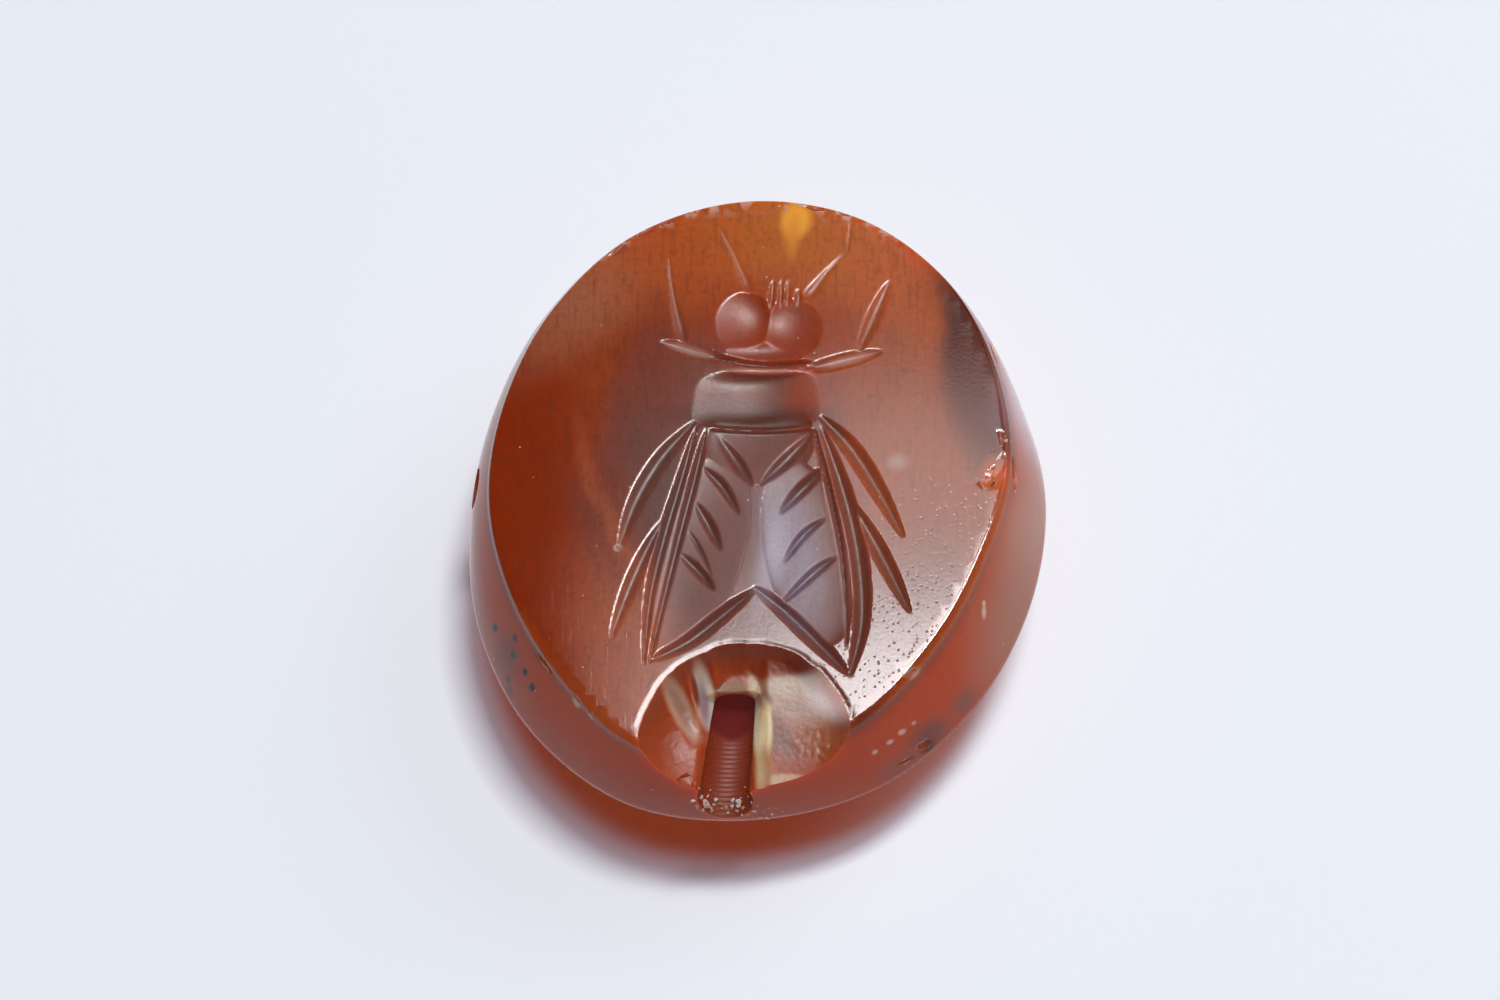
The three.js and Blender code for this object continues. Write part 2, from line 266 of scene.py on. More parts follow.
def makeBlank():
    # a ball is pulled into the blank's rings, and its top cap becomes one flat face
    ringCount = blank["edgeRings"] + blank["wallRings"] + blank["domeRings"]
    deselectAll()
    bpy.ops.mesh.primitive_uv_sphere_add(
        segments=blank["segments"], ring_count=ringCount + 1, radius=1)
    stone = bpy.context.object
    stone.name = "carnelianStone"
    points = getPoints(stone)
    polar = np.arccos(np.clip(points[:, 2], -1, 1)) / math.pi * (ringCount + 1)
    level = np.round(polar).astype(int)
    rings = np.array(blankRings(turnsOf(points)))
    middle = (level > 0) & (level <= ringCount)
    points[middle] = rings[level[middle] - 1, np.flatnonzero(middle)]
    points[level == 0] = (0, 0, faceHeight)
    points[level > ringCount] = (0, 0, 0)
    setPoints(stone, points)
    selectParts(stone, "FACE", isFlat)
    bpy.ops.mesh.dissolve_faces()
    setMode("OBJECT")
    print("blank shaped")
    return stone


engraving = {
    "cellSize": 0.36,
    "cellParts": 8,
    "lipMargin": 0.28,
    "blend": 8,
    "fullness": 0.6,
    "tipShare": 0.05,
    "bluntStart": 0.85,
    "softLip": 1.4,
    "wear": 0.6,
    "curveSteps": 28,
    "cutStart": 0.001,
    "easing": {"factor": 0.5, "iterations": 2},
}

# each pass of the wheel: its width in the photo's pixels, its depth, and its path on the photo
wheelCuts = [
    # mouthparts and antennae
    (8, 0.16, (773, 279), (771, 300), (767, 322)),
    (7, 0.16, (781, 279), (780, 300), (776, 322)),
    (7, 0.16, (788, 279), (787, 300), (784, 320)),
    (9, 0.16, (798, 288), (798, 300), (796, 314)),
    (13, 0.12, (718, 226), (735, 257), (750, 292)),
    (14, 0.13, (847, 248), (826, 272), (806, 298)),
    (4, 0.06, (846, 252), (848, 238), (849, 219)),
    (6, 0.3, (760, 342), (757, 348), (756, 356)),
    # forelegs and collar
    (14, 0.16, (667, 252), (673, 295), (684, 341)),
    (15, 0.2, (660, 341), (692, 350), (728, 360)),
    (16, 0.2, (889, 279), (874, 314), (857, 354)),
    (16, 0.2, (798, 371), (842, 360), (882, 350)),
    (12, 0.46, (704, 355), (757, 363), (814, 362)),
    # the scutellum
    (20, 0.42, (714, 430), (734, 457), (752, 484)),
    (21, 0.42, (814, 430), (789, 455), (762, 483)),
    # left wing
    (19, 0.28, (696, 420), (662, 457), (636, 500), (618, 549)),
    (16, 0.26, (662, 520), (642, 558), (625, 597), (610, 638)),
    (14, 0.36, (697, 423), (680, 482), (664, 535), (650, 595), (643, 664)),
    (14, 0.4, (707, 426), (694, 478), (680, 530), (665, 590), (648, 664)),
    (14, 0.36, (703, 467), (722, 486), (739, 515)),
    (18, 0.44, (693, 498), (708, 524), (721, 552)),
    (7, 0.36, (683, 523), (698, 546), (712, 578)),
    (16, 0.44, (675, 548), (696, 568), (715, 591)),
    (18, 0.4, (756, 588), (719, 616), (687, 640), (650, 660)),
    # right wing
    (19, 0.3, (820, 415), (850, 446), (876, 486), (904, 537)),
    (17, 0.28, (848, 497), (872, 537), (891, 573), (910, 612)),
    (9, 0.38, (813, 426), (829, 490), (842, 560), (847, 650)),
    (21, 0.46, (821, 426), (843, 490), (857, 552), (861, 618), (849, 676)),
    (18, 0.48, (824, 468), (801, 488), (777, 515)),
    (14, 0.44, (829, 513), (802, 534), (780, 566)),
    (17, 0.46, (841, 551), (814, 570), (780, 604)),
    (19, 0.4, (753, 586), (786, 611), (817, 641), (849, 674)),
]
# the rows of the antennae and the left foreleg, which start thin and end blunt
bluntRows = (4, 5, 8)
# thin raised lines left between the scoops: width, height and path
ridges = [
    (8, 0.1, (706, 366), (757, 372), (812, 369)),
    (7, 0.09, (700, 427), (757, 429), (816, 427)),
]
# round scoops: the middle and half sizes in the photo's pixels, how square the bowl is,
# and how much deeper it runs towards its right and its upper side
scoops = [
    {"at": (745, 322), "half": (30, 33), "depth": 0.27, "edge": 0.9, "lean": (0.55, 0)},
    {"at": (790, 328), "half": (32, 32), "depth": 0.27, "edge": 0.9, "lean": (-0.3, 0)},
    {"at": (766, 350), "half": (40, 15), "depth": 0.2, "edge": 1},
    {"at": (757, 398), "half": (66, 33), "depth": 0.32, "edge": 1.7, "barrel": 0.14},
    {"at": (760, 440), "half": (54, 48), "depth": 0.2, "edge": 0.6, "lean": (0, 0.8)},
    {"at": (698, 552), "half": (46, 104), "turn": -16, "depth": 0.12, "edge": 0.8, "lean": (-0.7, 0)},
    {"at": (808, 552), "half": (43, 100), "turn": 12, "depth": 0.15, "edge": 0.5, "lean": (0.3, -0.2)},
]


def alongPath(flat, path, depth=0):
    # how far each point lies from the path, and how far along it, from 0 to 1
    places = np.array([facePoint(*place, depth) for place in path])
    padded = np.vstack((2 * places[0] - places[1], places, 2 * places[-1] - places[-2]))
    spots = np.linspace(0, len(path) - 1, engraving["curveSteps"])
    first = np.minimum(spots.astype(int), len(path) - 2)
    curve = blendRows([padded[first + step] for step in range(4)], (spots - first)[:, None])
    starts, steps = curve[:-1], np.diff(curve, axis=0)
    lengths = (steps**2).sum(1)
    best = np.full(len(flat), 1e9)
    along = np.zeros(len(flat))
    for i in range(len(starts)):
        offset = flat - starts[i]
        t = np.clip(offset @ steps[i] / lengths[i], 0, 1)
        away = np.linalg.norm(offset - t[:, None] * steps[i], axis=1)
        closer = away < best
        best[closer] = away[closer]
        along[closer] = (i + t[closer]) / len(starts)
    return best, along


def cutDepths(flat):
    # the engraved depth at each place on the face, and which places lie in or by a cut
    total = np.zeros(len(flat))
    near = np.zeros(len(flat), bool)
    power, blunt = engraving["blend"], engraving["bluntStart"]
    for row, (width, depth, *path) in enumerate(wheelCuts):
        away, along = alongPath(flat, path)
        share = np.sin(math.pi * along) ** engraving["fullness"]
        if row in bluntRows:
            late = np.clip((along - blunt) / (1 - blunt), 0, 1)
            share = np.minimum(along / blunt, 1) * np.sqrt(1 - late**2)
        share = np.maximum(share, engraving["tipShare"])
        half = width * pixelSize / 2 * share
        inside = np.clip(1 - (away / half) ** 2, 0, None) ** engraving["softLip"]
        total += (depth * engraving["wear"] * share * inside) ** power
        near |= away < half + engraving["lipMargin"]
    for scoop in scoops:
        offset = flat - facePoint(*scoop["at"])
        angle = math.radians(scoop.get("turn", 0))
        half = np.array(scoop["half"]) * pixelSize
        across = offset @ (math.cos(angle), math.sin(angle)) / half[0]
        up = offset @ (-math.sin(angle), math.cos(angle)) / half[1]
        reach = across**2 + up**2
        if "barrel" in scoop:
            # a trough with soft blunt ends, wider at its lower end
            across = across / (1 - scoop["barrel"] / 2 * up)
            reach = across**2 + np.abs(up) ** 5
        right, top = scoop.get("lean", (0, 0))
        bowl = np.clip(1 - reach, 0, None) ** scoop["edge"]
        bowl *= np.clip(1 + right * across + top * up, 0, None)
        total += (scoop["depth"] * bowl) ** power
        near |= reach < (1 + engraving["lipMargin"] / min(half)) ** 2
    total = total ** (1 / power)
    for width, height, *path in ridges:
        away = alongPath(flat, path)[0] / (width * pixelSize / 2)
        total -= height * np.clip(1 - away**2, 0, None) ** 2
    return np.maximum(total, 0), near


def gridFace(stone):
    # the flat face is cut into cells, and the cells near the engraving are split finely
    size = engraving["cellSize"]
    for axis, reach in ((0, blank["faceWidth"]), (1, blank["faceLength"])):
        normal = Vector((axis == 0, axis == 1, 0))
        count = int(reach / 2 / size)
        for i in range(-count, count + 1):
            selectParts(stone, "FACE", isFlat)
            bpy.ops.mesh.bisect(plane_co=normal * i * size, plane_no=normal)
            setMode("OBJECT")
    flats = [face for face in stone.data.polygons if isFlat(face)]
    centres = np.array([face.center[:2] for face in flats])
    near = cutDepths(centres)[1] | (np.abs(fromBreak(centres)) < shell["lipReach"])
    chosen = {face.index for face, close in zip(flats, near) if close and len(face.vertices) == 4}
    selectParts(stone, "FACE", lambda face: face.index in chosen)
    bpy.ops.mesh.subdivide(number_cuts=engraving["cellParts"] - 1)
    setMode("OBJECT")
    print("face gridded", len(stone.data.polygons))


def engrave(stone):
    points = getPoints(stone)
    onFace = points[:, 2] > flatHeight
    depths = cutDepths(points[onFace, :2])[0]
    reach = np.hypot(points[:, 0] / (blank["faceWidth"] / 2), points[:, 1] / (blank["faceLength"] / 2))
    rise = np.clip((points[:, 2] - girdleHeight) / blank["girdleDrop"], 0, 1)
    points[:, 2] -= blank["faceSag"] * np.minimum(reach, 1) ** 2 * rise
    outside = np.clip(fromBreak(points[onFace, :2]) / shell["lipWidth"], 0, 1)
    points[onFace, 2] -= depths + shell["lipDrop"] * (1 - outside) ** 2
    setPoints(stone, points)
    # the wheel's lips are a little worn, so the cut faces are eased once
    group = stone.vertex_groups.new(name="cuts")
    group.add(np.flatnonzero(onFace)[depths > engraving["cutStart"]].tolist(), 1, "REPLACE")
    applyModifier(stone, "SMOOTH", vertex_group="cuts", use_x=False, use_y=False,
                  **engraving["easing"])
    stone.vertex_groups.remove(stone.vertex_groups["cuts"])
    print("insect engraved")


# the shell of stone that broke away over the front mouth of the string hole
shell = {
    "middle": (-0.02, -8.8),
    "radius": 3.47,
    "edgeScale": 0.9,
    "uneven": 0.09,
    "depth": 1.38,
    "fall": 0.72,
    "reachX": (-4.2, 4.3),
    "reachY": (-11.4, -4.9),
    "cell": 0.06,
    "shelfStart": (800, 656),
    "shelfDepth": 0.56,
    "shelfSlope": 0.2,
    "shelfLeft": 0.62,
    "shelfSide": 1.4,
    "shelfBlend": 9,
    "flakeEdge": 0.3,
    "mouthRoof": -6.74,
    "mouthDepth": 1.6,
    "mouthHalf": 0.6,
    "mouthSlope": 0.42,
    "mouthStep": 0.1,
    "roofDepth": 1.02,
    "lipReach": 0.5,
    "lipDrop": 0.014,
    "lipWidth": 0.14,
    "lumps": {"height": 0.02, "scale": 0.9},
    "grain": {"at": (827, 744, 0.9), "half": (1.0, 0.42), "height": 0.06, "scale": 6},
    "least": 0.001,
    "clear": (0.4, 0.5),
    "cutterTop": 2,
}

# flakes and cracks on the broken surface: width, depth, level under the face, and path;
# negative depths stand up as ribs
flakes = [
    (24, 0.2, 0.9, (662, 680), (680, 704), (700, 742)),
    (22, 0.2, 1, (700, 664), (706, 700), (706, 742)),
    (9, -0.12, 0.8, (688, 672), (694, 700), (700, 728)),
    (34, 0.1, 0.7, (720, 646), (732, 670), (736, 700)),
    (7, 0.14, 0.9, (748, 666), (761, 690), (771, 706)),
    (56, 0.08, 1, (640, 712), (655, 740), (690, 778)),
    (9, -0.08, 0.7, (712, 650), (716, 668), (716, 690)),
]


def fromBreak(flat):
    # how far outside the break's curved and slightly uneven edge each place lies
    uneven = shell["uneven"] * roughNoise(flat, shell["edgeScale"], 4)
    return np.hypot(*(flat - shell["middle"]).T) - shell["radius"] + uneven


def shellDepth(flat):
    # how far the broken surface lies under the face at each place
    inward = -fromBreak(flat)
    bowl = shell["depth"] * (1 - np.exp(-inward / shell["fall"]))
    start = facePoint(*shell["shelfStart"])
    shelf = shell["shelfDepth"] + shell["shelfSlope"] * (start[1] - flat[:, 1])
    shelf += shell["shelfSide"] * np.clip(shell["shelfLeft"] - flat[:, 0], 0, None)
    power = shell["shelfBlend"]
    bowl, shelf = np.maximum(bowl, shell["least"]), np.maximum(shelf, shell["least"])
    depth = (bowl**-power + shelf**-power) ** (-1 / power)
    for width, drop, level, *path in flakes:
        away, along = alongPath(flat, path, level)
        share = np.sin(math.pi * along) ** engraving["fullness"]
        share *= np.clip(1 - (away / (width * pixelSize / 2)) ** 2, 0, None)
        depth += drop * share * np.minimum(1, np.maximum(inward, 0) / shell["flakeEdge"])
    # the hole's roof has broken off square, so its mouth stands open at nearly full width
    aside = np.abs(flat[:, 0] - holeCentre(flat[:, 1])) - shell["mouthHalf"]
    gape = smoothStep(1 - aside / shell["mouthSlope"])
    mouth = smoothStep((shell["mouthRoof"] - flat[:, 1]) / shell["mouthStep"] + 0.5)
    depth -= np.maximum(depth - shell["roofDepth"], 0) * gape * (1 - mouth)
    depth += np.maximum(shell["mouthDepth"] - depth, 0) * gape * mouth
    lumps, grain = shell["lumps"], shell["grain"]
    grainy = np.exp(-(((flat - facePoint(*grain["at"])) / grain["half"]) ** 2).sum(1))
    depth += (lumps["height"] * roughNoise(flat, lumps["scale"], 2)
              + grainy * grain["height"] * roughNoise(flat, grain["scale"]))
    # past the break's edge the cutter rises clear of the face
    lift, slope = shell["clear"]
    return np.where(inward > 0, depth, -lift - slope * np.minimum(-inward, 1))


def makeShell():
    # a fine grid lies on the broken surface, and is drawn up past the face as the cutter
    (west, east), (south, north) = shell["reachX"], shell["reachY"]
    deselectAll()
    bpy.ops.mesh.primitive_grid_add(
        x_subdivisions=round((east - west) / shell["cell"]),
        y_subdivisions=round((north - south) / shell["cell"]), size=1)
    cutter = bpy.context.object
    setMode("EDIT")
    bpy.ops.mesh.select_all(action="SELECT")
    bpy.ops.mesh.extrude_region_move(TRANSFORM_OT_translate={"value": (0, 0, 1)})
    setMode("OBJECT")
    points = getPoints(cutter)
    top = points[:, 2] > 0.5
    points[:, 0] = west + (points[:, 0] + 0.5) * (east - west)
    points[:, 1] = south + (points[:, 1] + 0.5) * (north - south)
    points[:, 2] = faceHeight + shell["cutterTop"]
    points[~top, 2] = faceHeight - shellDepth(points[~top, :2])
    setPoints(cutter, points)
    recalculateNormals(cutter)
    return cutter


def makeBar(look, axis):
    # a round bar from -1 to 1 along x (axis 0) or y (axis 1), with rings of points all along
    quarter = math.pi / 2
    deselectAll()
    bpy.ops.mesh.primitive_cylinder_add(
        vertices=look["sides"], radius=1, depth=2, rotation=(quarter * axis, quarter * (1 - axis), 0))
    bar = bpy.context.object
    bpy.ops.object.transform_apply()
    ends = getPoints(bar)[:, axis]
    selectParts(bar, "EDGE", lambda edge: ends[edge.vertices[0]] * ends[edge.vertices[1]] < 0)
    bpy.ops.mesh.subdivide(number_cuts=look["rings"])
    setMode("OBJECT")
    return bar


# the string hole runs lengthwise, and its bow-drilled wall is ringed
stringHole = {
    "x": -0.85,
    "slope": math.tan(math.radians(6.1)),
    "drop": 1.75,
    "start": -9.9,
    "end": 10.2,
    "radius": 0.62,
    "mouthRadius": 0.86,
    "mouthLength": 4.2,
    "wornRadius": 0.94,
    "wornLength": 0.8,
    "wornMost": 1.6,
    "ringDepth": 0.022,
    "ringStep": 0.15,
    "ringsEnd": -5.6,
    "ringsFade": 0.5,
    "ringShares": (0.7, 0.6),
    "unevenLength": 0.4,
    "frontShare": 0.8,
    "sides": 56,
    "rings": 250,
    "reach": 11.2,
}


def holeCentre(y):
    return stringHole["x"] + stringHole["slope"] * (y - stringHole["start"])


def makeStringHole():
    look = stringHole
    cutter = makeBar(look, 1)
    points = getPoints(cutter)
    # most of the mesh lies in the front part, where the drill's rings show
    y = np.interp((points[:, 1] + 1) / 2, (0, look["frontShare"], 1),
                  (-look["reach"], look["ringsEnd"], look["reach"]))
    fromMouth = look["end"] - np.abs(y)
    flare = np.clip(1 - fromMouth / look["mouthLength"], 0, 1)
    worn = np.clip(1 - fromMouth / look["wornLength"], 0, look["wornMost"])
    radius = look["radius"] + (look["mouthRadius"] - look["radius"]) * flare
    radius += (look["wornRadius"] - look["mouthRadius"]) * worn**2
    ring = np.abs(np.sin(math.pi * y / look["ringStep"]))
    wobble = np.array([noise.noise(Vector((0, spot / look["unevenLength"], 0))) for spot in y])
    least, more = look["ringShares"]
    fade = smoothStep((look["ringsEnd"] - y) / look["ringsFade"])
    radius += look["ringDepth"] * ring * (least + more * wobble) * fade
    setPoints(cutter, np.column_stack((holeCentre(y) + points[:, 0] * radius, y,
                                       faceHeight - look["drop"] + points[:, 2] * radius)))
    recalculateNormals(cutter)
    return cutter


# the side hole comes in from the left wall and is packed with soil
sideHole = {
    "y": 0.85,
    "drop": 1.95,
    "radius": 0.65,
    "depth": 3.4,
    "outside": 0.3,
    "tipStart": 0.85,
    "tipLength": 0.15,
    "tipTaper": 0.8,
    "mouth": 0.2,
    "mouthWear": 0.14,
    "sides": 48,
    "rings": 24,
}


def makeSideHole():
    look = sideHole
    cutter = makeBar(look, 0)
    points = getPoints(cutter)
    share = (points[:, 0] + 1) / 2
    outer, inner = low.x - look["outside"], low.x + look["depth"]
    taper = np.clip((share - look["tipStart"]) / look["tipLength"], 0, 1) ** 2 * look["tipTaper"]
    worn = 1 + look["mouthWear"] * np.clip(1 - share / look["mouth"], 0, 1)
    radius = look["radius"] * np.sqrt(1 - taper) * worn
    x = outer + (inner - outer) * share
    setPoints(cutter, np.column_stack((x, look["y"] + points[:, 1] * radius,
                                       faceHeight - look["drop"] + points[:, 2] * radius)))
    recalculateNormals(cutter)
    return cutter


# chips knocked out of the face's rim and the girdle: place on the photo, half sizes and turn
chips = [
    ((988, 482), (0.24, 0.18, 0.03), 30), ((1000, 470), (0.22, 0.5, 0.05), -15),
    ((1014, 473), (0.12, 0.55, 0.1), 12), ((993, 352), (0.1, 0.4, 0.05), 10),
    ((1002, 440), (0.12, 0.3, 0.06), 5), ((688, 782), (0.34, 0.3, 0.12), 0),
    ((925, 745), (0.3, 0.2, 0.09), 20), ((905, 762), (0.4, 0.12, 0.06), 20),
    ((618, 250), (0.3, 0.1, 0.05), 40), ((645, 232), (0.26, 0.1, 0.05), 30),
    ((668, 221), (0.3, 0.1, 0.06), 20), ((700, 211), (0.22, 0.08, 0.05), 10),
    ((815, 208), (0.3, 0.1, 0.06), -10), ((845, 214), (0.22, 0.08, 0.05), -20),
    ((912, 674), (0.24, 0.12, 0.06), 35), ((577, 700), (0.22, 0.12, 0.05), -50),
    ((592, 715), (0.16, 0.1, 0.05), -50), ((545, 664), (0.4, 0.1, 0.05), -55),
    ((618, 548), (0.1, 0.08, 0.04), 0), ((757, 487), (0.07, 0.07, 0.04), 0),
]
chipLook = {"knots": 3, "wobble": 0.38, "lumpScale": 1.6, "step": 3.7, "seed": (7, 0)}


def surfaceFinder(obj):
    # gives the point of the finished stone that a place on the photo shows
    tree = BVHTree.FromPolygons([v.co for v in obj.data.vertices],
                                [list(face.vertices) for face in obj.data.polygons])

    def find(across, down):
        # a place just off the stone's outline is drawn in until it lies on the stone
        place, middle = Vector((across, down)), Vector(view["frame"]) / 2
        while True:
            spot, normal = tree.ray_cast(*photoRay(*place))[:2]
            if spot:
                return spot, normal
            place += (middle - place).normalized()
    return find


def makeLumps(look, shapes):
    # one ball is copied, and each copy is pushed out of round, sized, turned and placed
    deselectAll()
    bpy.ops.mesh.primitive_ico_sphere_add(subdivisions=look["knots"], radius=1)
    pattern = bpy.context.object
    pieces = []
    for number, (half, turns, place) in enumerate(shapes):
        piece = pattern.copy()
        piece.data = pattern.data.copy()
        scene.collection.objects.link(piece)
        points = getPoints(piece)
        own = points + np.array((number * look["step"], *look["seed"]))
        points *= 1 + look["wobble"] * roughNoise(own, look["lumpScale"])[:, None]
        points *= half
        for turn in turns:
            points = points @ turn.T
        setPoints(piece, points + place)
        pieces.append(piece)
    removeObject(pattern)
    deselectAll()
    for piece in pieces:
        piece.select_set(True)
    bpy.context.view_layer.objects.active = pieces[0]
    bpy.ops.object.join()
    recalculateNormals(pieces[0])
    return pieces[0]


def makeChips(find):
    shapes = []
    for at, half, angle in chips:
        place, normal = find(*at)
        cosine, sine = math.cos(math.radians(angle)), math.sin(math.radians(angle))
        turn = np.array(((cosine, -sine, 0), (sine, cosine, 0), (0, 0, 1)))
        lean = np.array(Vector((0, 0, 1)).rotation_difference(normal).to_matrix())
        shapes.append((half, (turn, lean), np.array(place)))
    return makeLumps(chipLook, shapes)


stoneMaterials = [bpy.data.materials.new(name) for name in
                  ("polishedCarnelian", "brokenCarnelian", "drilledCarnelian")]


def wearFinish(obj, index):
    # every piece carries the same three finishes, so the cuts bring their own to the stone
    obj.data.materials.clear()
    for material in stoneMaterials:
        obj.data.materials.append(material)
    obj.data.polygons.foreach_set("material_index", [index] * len(obj.data.polygons))
    return obj


makeCamera()
stone = makeBlank()
gridFace(stone)
engrave(stone)
wearFinish(stone, 0)
cutAway(stone, wearFinish(makeShell(), 1))
print("shell broken away")
cutAway(stone, wearFinish(makeStringHole(), 2))
print("string hole drilled")
cutAway(stone, wearFinish(makeSideHole(), 2))
print("side hole drilled")
cutAway(stone, wearFinish(makeChips(surfaceFinder(stone)), 1))
print("rim chipped")
findStone = surfaceFinder(stone)

marking = {
    "cutDepth": 0.004,
    "cutReach": 1.2,
    "rimWidth": 0.22,
    "rimDrop": 0.2,
    "rimFade": 0.25,
}


def markCuts(obj):
    # "cut" is 1 in the engraving, "rim" is 1 along the face's edge
    look, points = marking, getPoints(obj)
    onFace = points[:, 2] > faceHeight - look["cutReach"]
    cut = smoothStep(cutDepths(points[:, :2])[0] / look["cutDepth"]) * onFace
    edge = np.linalg.norm(faceOutline(turnsOf(points)), axis=1)
    fromEdge = edge - np.linalg.norm(points[:, :2], axis=1)
    below = np.maximum(faceHeight - points[:, 2] - look["rimDrop"], 0)
    rim = np.exp(-(fromEdge / look["rimWidth"]) ** 2) * np.exp(-(below / look["rimFade"]) ** 2)
    for name, values in (("cut", cut), ("rim", rim)):
        attribute = obj.data.attributes.new(name, "FLOAT", "POINT")
        attribute.data.foreach_set("value", values)


markCuts(stone)
toMetres(stone)
bpy.ops.object.shade_smooth_by_angle(angle=blank["smoothAngle"])
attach(stone, "root")
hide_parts("carnelian_gem")
print("stone", sum(len(face.vertices) - 2 for face in stone.data.polygons), "triangles")


# burial soil packed in the side hole
soil = {
    "segments": 64,
    "rings": 48,
    "squareness": 0.32,
    "least": 1e-6,
    "lumps": 0.045,
    "lumpScale": 5,
}


def makeSoil():
    deselectAll()
    bpy.ops.mesh.primitive_uv_sphere_add(segments=soil["segments"], ring_count=soil["rings"],
                                         radius=1, rotation=(0, math.pi / 2, 0))
    plug = bpy.context.object
    plug.name = "packedSoil"
    bpy.ops.object.transform_apply()
    points = getPoints(plug)
    # the ball is squared up along the hole, then pushed about into crumbs
    points[:, 0] = np.sign(points[:, 0]) * np.abs(points[:, 0]) ** soil["squareness"]
    around = np.maximum(np.linalg.norm(points[:, 1:], axis=1), soil["least"])
    points[:, 1:] *= (around ** soil["squareness"] / around)[:, None]
    middle, half = np.array((soilLow + soilHigh) / 2), np.array((soilHigh - soilLow) / 2)
    points = points * half + middle
    crumbs = roughNoise(points, soil["lumpScale"], 4)
    inward = middle - points
    inward /= np.linalg.norm(inward, axis=1)[:, None]
    setPoints(plug, points + inward * soil["lumps"] * (1 + crumbs)[:, None])
    recalculateNormals(plug)
    toMetres(plug)
    bpy.ops.object.shade_smooth()
    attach(plug, "root")
    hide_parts("side_bore_soil")
    print("soil packed")
    return plug


# crumbs of stone and soil stuck at the front mouth: place on the photo and size in its pixels
crumbPlaces = [
    ((706, 804), 8), ((701, 797), 4), ((711, 809), 5), ((697, 806), 4), ((716, 800), 3),
    ((722, 809), 4), ((728, 813), 3), ((738, 804), 7), ((743, 808), 4), ((733, 800), 3),
    ((748, 815), 4), ((754, 811), 4), ((760, 817), 4), ((767, 818), 3), ((763, 811), 3),
    ((772, 814), 3), ((748, 797), 3), ((745, 787), 2), ((752, 803), 3), ((699, 788), 3),
    ((693, 800), 3), ((741, 798), 2), ((757, 806), 2), ((776, 808), 2), ((708, 796), 3),
    ((714, 805), 3), ((720, 803), 2), ((726, 807), 3), ((732, 807), 3), ((737, 811), 3),
    ((742, 815), 2), ((703, 810), 3), ((769, 808), 2), ((782, 812), 2), ((710, 790), 2),
    ((994, 450), 3), ((1001, 446), 2), ((1006, 441), 3), ((990, 453), 2), ((1004, 452), 2),
    ((998, 358), 2), ((995, 365), 2), ((1000, 370), 2),
]
crumbLook = {"knots": 3, "wobble": 0.9, "lumpScale": 0.9, "step": 5.3, "seed": (0, 11),
             "dice": 11, "spread": (0.7, 1.2), "sink": 0.1, "smoothAngle": math.radians(40)}


def makeCrumbs(find):
    dice = random.Random(crumbLook["dice"])
    shapes, tones = [], []
    for at, size in crumbPlaces:
        spot, normal = find(*at)
        half = [size * pixelSize / 2 * dice.uniform(*crumbLook["spread"]) for _ in range(3)]
        sunk = np.array(normal) * size * pixelSize / 2 * crumbLook["sink"]
        shapes.append((half, (), np.array(spot) - sunk))
        tones.append(dice.random())
    crumbs = makeLumps(crumbLook, shapes)
    crumbs.name = "mouthCrumbs"
    attribute = crumbs.data.attributes.new("tone", "FLOAT", "POINT")
    attribute.data.foreach_set("value", np.repeat(tones, len(crumbs.data.vertices) // len(tones)))
    toMetres(crumbs)
    bpy.ops.object.shade_smooth_by_angle(angle=crumbLook["smoothAngle"])
    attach(crumbs, "root")
    print("crumbs placed")
    return crumbs


packedSoil = makeSoil()
mouthCrumbs = makeCrumbs(findStone)


# node helpers: a value that is a socket is linked, and any other is set
def setInputs(tree, node, inputs):
    for key, value in inputs.items():
        socket = node.inputs[key]
        if isinstance(value, bpy.types.NodeSocket):
            tree.links.new(value, socket)
        elif socket.type == "RGBA":
            socket.default_value = (*value, 1)
        else:
            socket.default_value = value


def addNode(tree, kind, inputs=None, **settings):
    node = tree.nodes.new("ShaderNode" + kind)
    for key, value in settings.items():
        setattr(node, key, value)
    setInputs(tree, node, inputs or {})
    return node


def maths(tree, operation, first, second=0.0):
    return addNode(tree, "Math", {0: first, 1: second}, operation=operation).outputs[0]


def times(tree, first, *others):
    for other in others:
        first = maths(tree, "MULTIPLY", first, other)
    return first


def plus(tree, first, *others):
    for other in others:
        first = maths(tree, "ADD", first, other)
    return first


def minus(tree, first, second):
    return maths(tree, "SUBTRACT", first, second)


def vectorMaths(tree, operation, first, second):
    return addNode(tree, "VectorMath", {0: first, 1: second}, operation=operation).outputs[0]


def mix(tree, share, below, above):
    return addNode(tree, "Mix", {0: share, 6: below, 7: above}, data_type="RGBA").outputs[2]


def ramp(tree, value, start, end):
    return addNode(tree, "MapRange", {"Value": value, "From Min": start, "From Max": end},
                   interpolation_type="SMOOTHSTEP").outputs["Result"]


def addNoise(tree, vector, scale, detail):
    return addNode(tree, "TexNoise", {"Vector": vector, "Scale": scale, "Detail": detail}).outputs


def stretch(tree, vector, scales):
    return addNode(tree, "Mapping", {"Vector": vector, "Scale": scales}).outputs[0]


def axisOf(tree, vector, axis):
    return addNode(tree, "SeparateXYZ", {0: vector}).outputs[axis]


def addBump(tree, shader, height, strength, distance):
    bump = addNode(tree, "Bump", {"Height": height, "Strength": strength,
                                  "Distance": distance * millimetre})
    setInputs(tree, shader, {"Normal": bump.outputs[0]})


